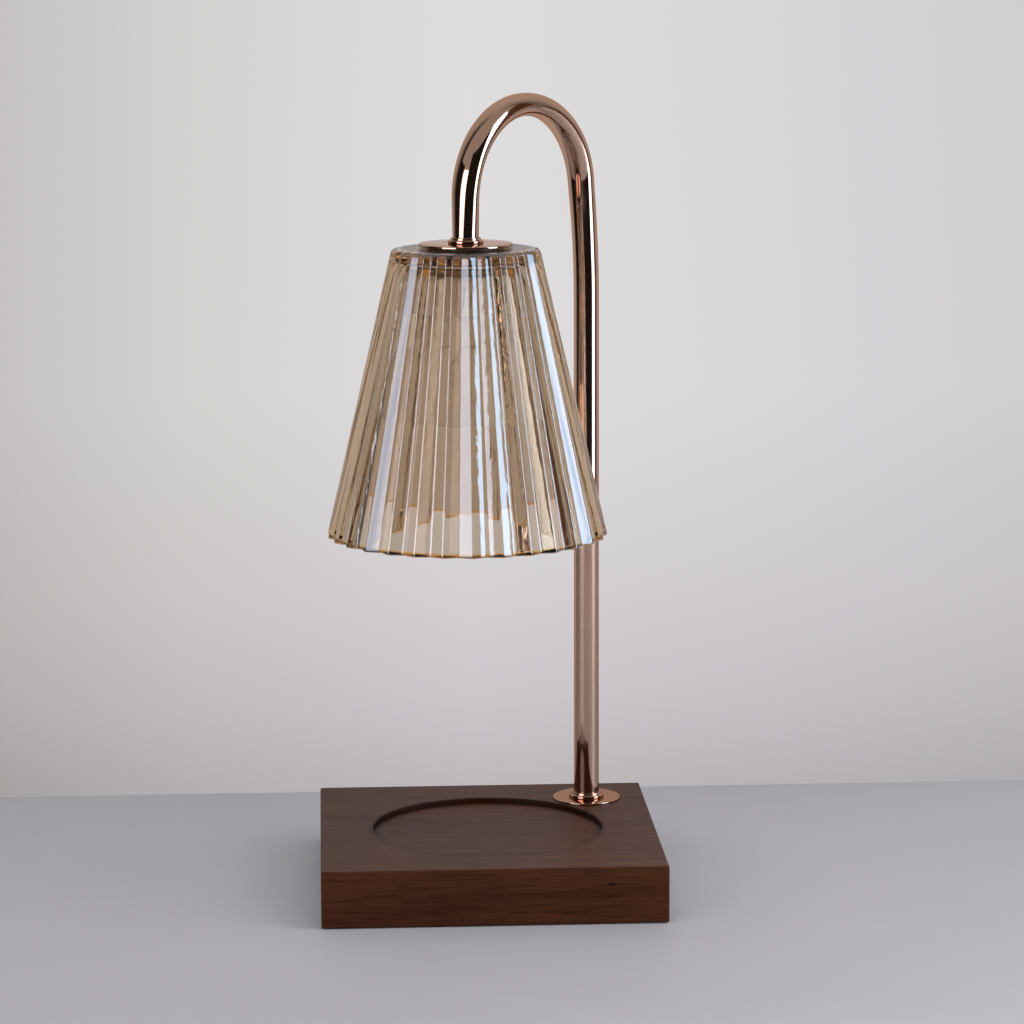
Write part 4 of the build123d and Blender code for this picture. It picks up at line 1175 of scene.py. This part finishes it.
for turn in quarter:
    add_ring(glass_foot + RIM_ROUND * (1 - sin(turn)), RIM_ROUND * (1 - cos(turn)), "inside", 1)
pleated_shade = rings_to_mesh("pleated_glass_shade", glass_rings, glass, sharp=60)
for name, values in (
    ("outside", lustred),
    ("pooled", lustre_pools),
    ("roof_shade_and_dulling", roof_shade_and_dulling_share),
):
    film_share = pleated_shade.data.attributes.new(name, "FLOAT", "POINT")
    film_share.data.foreach_set("value", values)
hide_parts("glass_shade")
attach(pleated_shade, "arm")

# ---------------------------------------------------------------- lampholder
# Body of the holder, screwed under its cap, and the cap of the bulb, cemented to the reflector.
# Both are pressed and fired steatite, a dense cream-white ceramic, glazed, with fine specks.
steatite = material("glazed_steatite")
place = node(steatite, "TexCoord").outputs["Object"]
speckle = node(steatite, "TexVoronoi", inputs={"Vector": place, "Scale": 700})
warmth = node(steatite, "TexNoise", inputs={"Vector": place, "Scale": 90, "Detail": 2})
tone = node(
    steatite,
    "ValToRGB",
    inputs={"Fac": warmth.outputs["Fac"]},
    stops=[(0.3, "#DDD7CA"), (0.7, "#E9E5DC")],
)
specks = node(
    steatite,
    "ValToRGB",
    inputs={"Fac": speckle.outputs["Distance"]},
    stops=[(0.02, "#9B9184"), (0.08, "#FFFFFF")],
)
specked = node(
    steatite,
    "MixRGB",
    {"blend_type": "MULTIPLY"},
    {"Fac": 0.6, "Color1": tone.outputs["Color"], "Color2": specks.outputs["Color"]},
)
glazed = node(
    steatite,
    "BsdfPrincipled",
    inputs={
        "Base Color": specked.outputs["Color"],
        "Roughness": 0.3,
        "Coat Weight": 0.5,
        "Coat Roughness": 0.08,
    },
)
node(steatite, "OutputMaterial", inputs={"Surface": glazed.outputs[0]})
dress(steatite, "lampholder", "bulb_base")

# Cap of the holder, clamped on the hollow bush: pressed steel in cream baked enamel, glossy,
# with a slight orange peel of about 1 mm.
baked = material("cream_baked_enamel")
place = node(baked, "TexCoord").outputs["Object"]
peel = node(baked, "TexNoise", inputs={"Vector": place, "Scale": 900, "Detail": 2})
tone = node(
    baked,
    "ValToRGB",
    inputs={"Fac": peel.outputs["Fac"]},
    stops=[(0.3, "#E2DACC"), (0.7, "#EAE3D7")],
)
orange_peel = node(
    baked, "Bump", inputs={"Height": peel.outputs["Fac"], "Strength": 0.3, "Distance": 0.02 * MM}
)
coat = node(
    baked,
    "BsdfPrincipled",
    inputs={
        "Base Color": tone.outputs["Color"],
        "Roughness": 0.3,
        "Normal": orange_peel.outputs[0],
    },
)
node(baked, "OutputMaterial", inputs={"Surface": coat.outputs[0]})
dress(baked, "holder_cap")

# Contact springs and bulb pins in nickel-plated bronze: a warm grey metal, rubbed bright.
nickel = material("nickel_plate")
place = node(nickel, "TexCoord").outputs["Object"]
rubbed = node(nickel, "TexNoise", inputs={"Vector": place, "Scale": 600, "Detail": 3})
tone = node(
    nickel,
    "ValToRGB",
    inputs={"Fac": rubbed.outputs["Fac"]},
    stops=[(0.3, "#B5AFA4"), (0.7, "#CFC9BE")],
)
bright = node(
    nickel, "MapRange", inputs={"Value": rubbed.outputs["Fac"], "To Min": 0.15, "To Max": 0.35}
)
contact = node(
    nickel,
    "BsdfPrincipled",
    inputs={
        "Base Color": tone.outputs["Color"],
        "Metallic": 1.0,
        "Roughness": bright.outputs[0],
    },
)
node(nickel, "OutputMaterial", inputs={"Surface": contact.outputs[0]})
dress(nickel, "holder_contacts", "bulb_pins")

# ---------------------------------------------------------------- bulb
# Reflector of pressed glass, coated inside with a cool mirror film and dimpled every 3 mm to
# spread the light. Its back is enamelled cream. Only the inside faces down, which is how the
# two are told apart.
dichroic = material("mirrored_reflector_glass")
place = node(dichroic, "TexCoord").outputs["Object"]
dimple = node(dichroic, "TexVoronoi", inputs={"Vector": place, "Scale": 330})
tint = node(dichroic, "TexNoise", inputs={"Vector": place, "Scale": 60})
tone = node(
    dichroic,
    "ValToRGB",
    inputs={"Fac": tint.outputs["Fac"]},
    stops=[(0.3, "#C9CBD2"), (0.7, "#DAD6CF")],
)
dimpled = node(
    dichroic,
    "Bump",
    inputs={"Height": dimple.outputs["Distance"], "Strength": 0.5, "Distance": 0.4 * MM},
)
mirror_film = node(
    dichroic,
    "BsdfPrincipled",
    inputs={
        "Base Color": tone.outputs["Color"],
        "Metallic": 1.0,
        "Roughness": 0.12,
        "Normal": dimpled.outputs[0],
    },
)
cream = node(
    dichroic,
    "ValToRGB",
    inputs={"Fac": tint.outputs["Fac"]},
    stops=[(0.3, "#EDE9E2"), (0.7, "#F4F0EA")],
)
enamel = node(
    dichroic, "BsdfPrincipled", inputs={"Base Color": cream.outputs["Color"], "Roughness": 0.5}
)
facing = node(
    dichroic, "SeparateXYZ", inputs={"Vector": node(dichroic, "NewGeometry").outputs["Normal"]}
)
faces_up = node(
    dichroic, "Math", {"operation": "GREATER_THAN"}, {0: facing.outputs["Z"], 1: -0.01}
)
reflector = node(
    dichroic,
    "MixShader",
    inputs={0: faces_up.outputs[0], 1: mirror_film.outputs[0], 2: enamel.outputs[0]},
)
node(dichroic, "OutputMaterial", inputs={"Surface": reflector.outputs[0]})
dress(dichroic, "bulb_reflector")

# Front glass and capsule: clear glass, lightly frosted in patches of about 3 mm.
clear_glass = material("clear_bulb_glass")
place = node(clear_glass, "TexCoord").outputs["Object"]
ripple = node(clear_glass, "TexNoise", inputs={"Vector": place, "Scale": 350, "Detail": 2})
tone = node(
    clear_glass,
    "ValToRGB",
    inputs={"Fac": ripple.outputs["Fac"]},
    stops=[(0.3, "#EEF2F1"), (0.7, "#F8FAFA")],
)
frost = node(
    clear_glass, "MapRange", inputs={"Value": ripple.outputs["Fac"], "To Min": 0.05, "To Max": 0.2}
)
front_glass = node(
    clear_glass,
    "BsdfPrincipled",
    inputs={
        "Base Color": tone.outputs["Color"],
        "Roughness": frost.outputs[0],
        "IOR": 1.5,
        "Transmission Weight": 1.0,
    },
)
node(clear_glass, "OutputMaterial", inputs={"Surface": front_glass.outputs[0]})
dress(clear_glass, "bulb_lens", "bulb_capsule")

# Filament of drawn tungsten: dark grey metal with the ridges of its coil, 0.4 mm apart.
tungsten = material("drawn_tungsten")
place = node(tungsten, "TexCoord").outputs["Object"]
coil = node(
    tungsten, "TexWave", {"bands_direction": "Z"}, {"Vector": place, "Scale": 800, "Detail": 0}
)
tone = node(
    tungsten,
    "ValToRGB",
    inputs={"Fac": coil.outputs["Fac"]},
    stops=[(0.1, "#2E2E31"), (0.9, "#7A7A80")],
)
coiled = node(
    tungsten, "Bump", inputs={"Height": coil.outputs["Fac"], "Strength": 0.8, "Distance": 0.2 * MM}
)
wire = node(
    tungsten,
    "BsdfPrincipled",
    inputs={
        "Base Color": tone.outputs["Color"],
        "Metallic": 1.0,
        "Roughness": 0.4,
        "Normal": coiled.outputs[0],
    },
)
node(tungsten, "OutputMaterial", inputs={"Surface": wire.outputs[0]})
dress(tungsten, "bulb_filament")
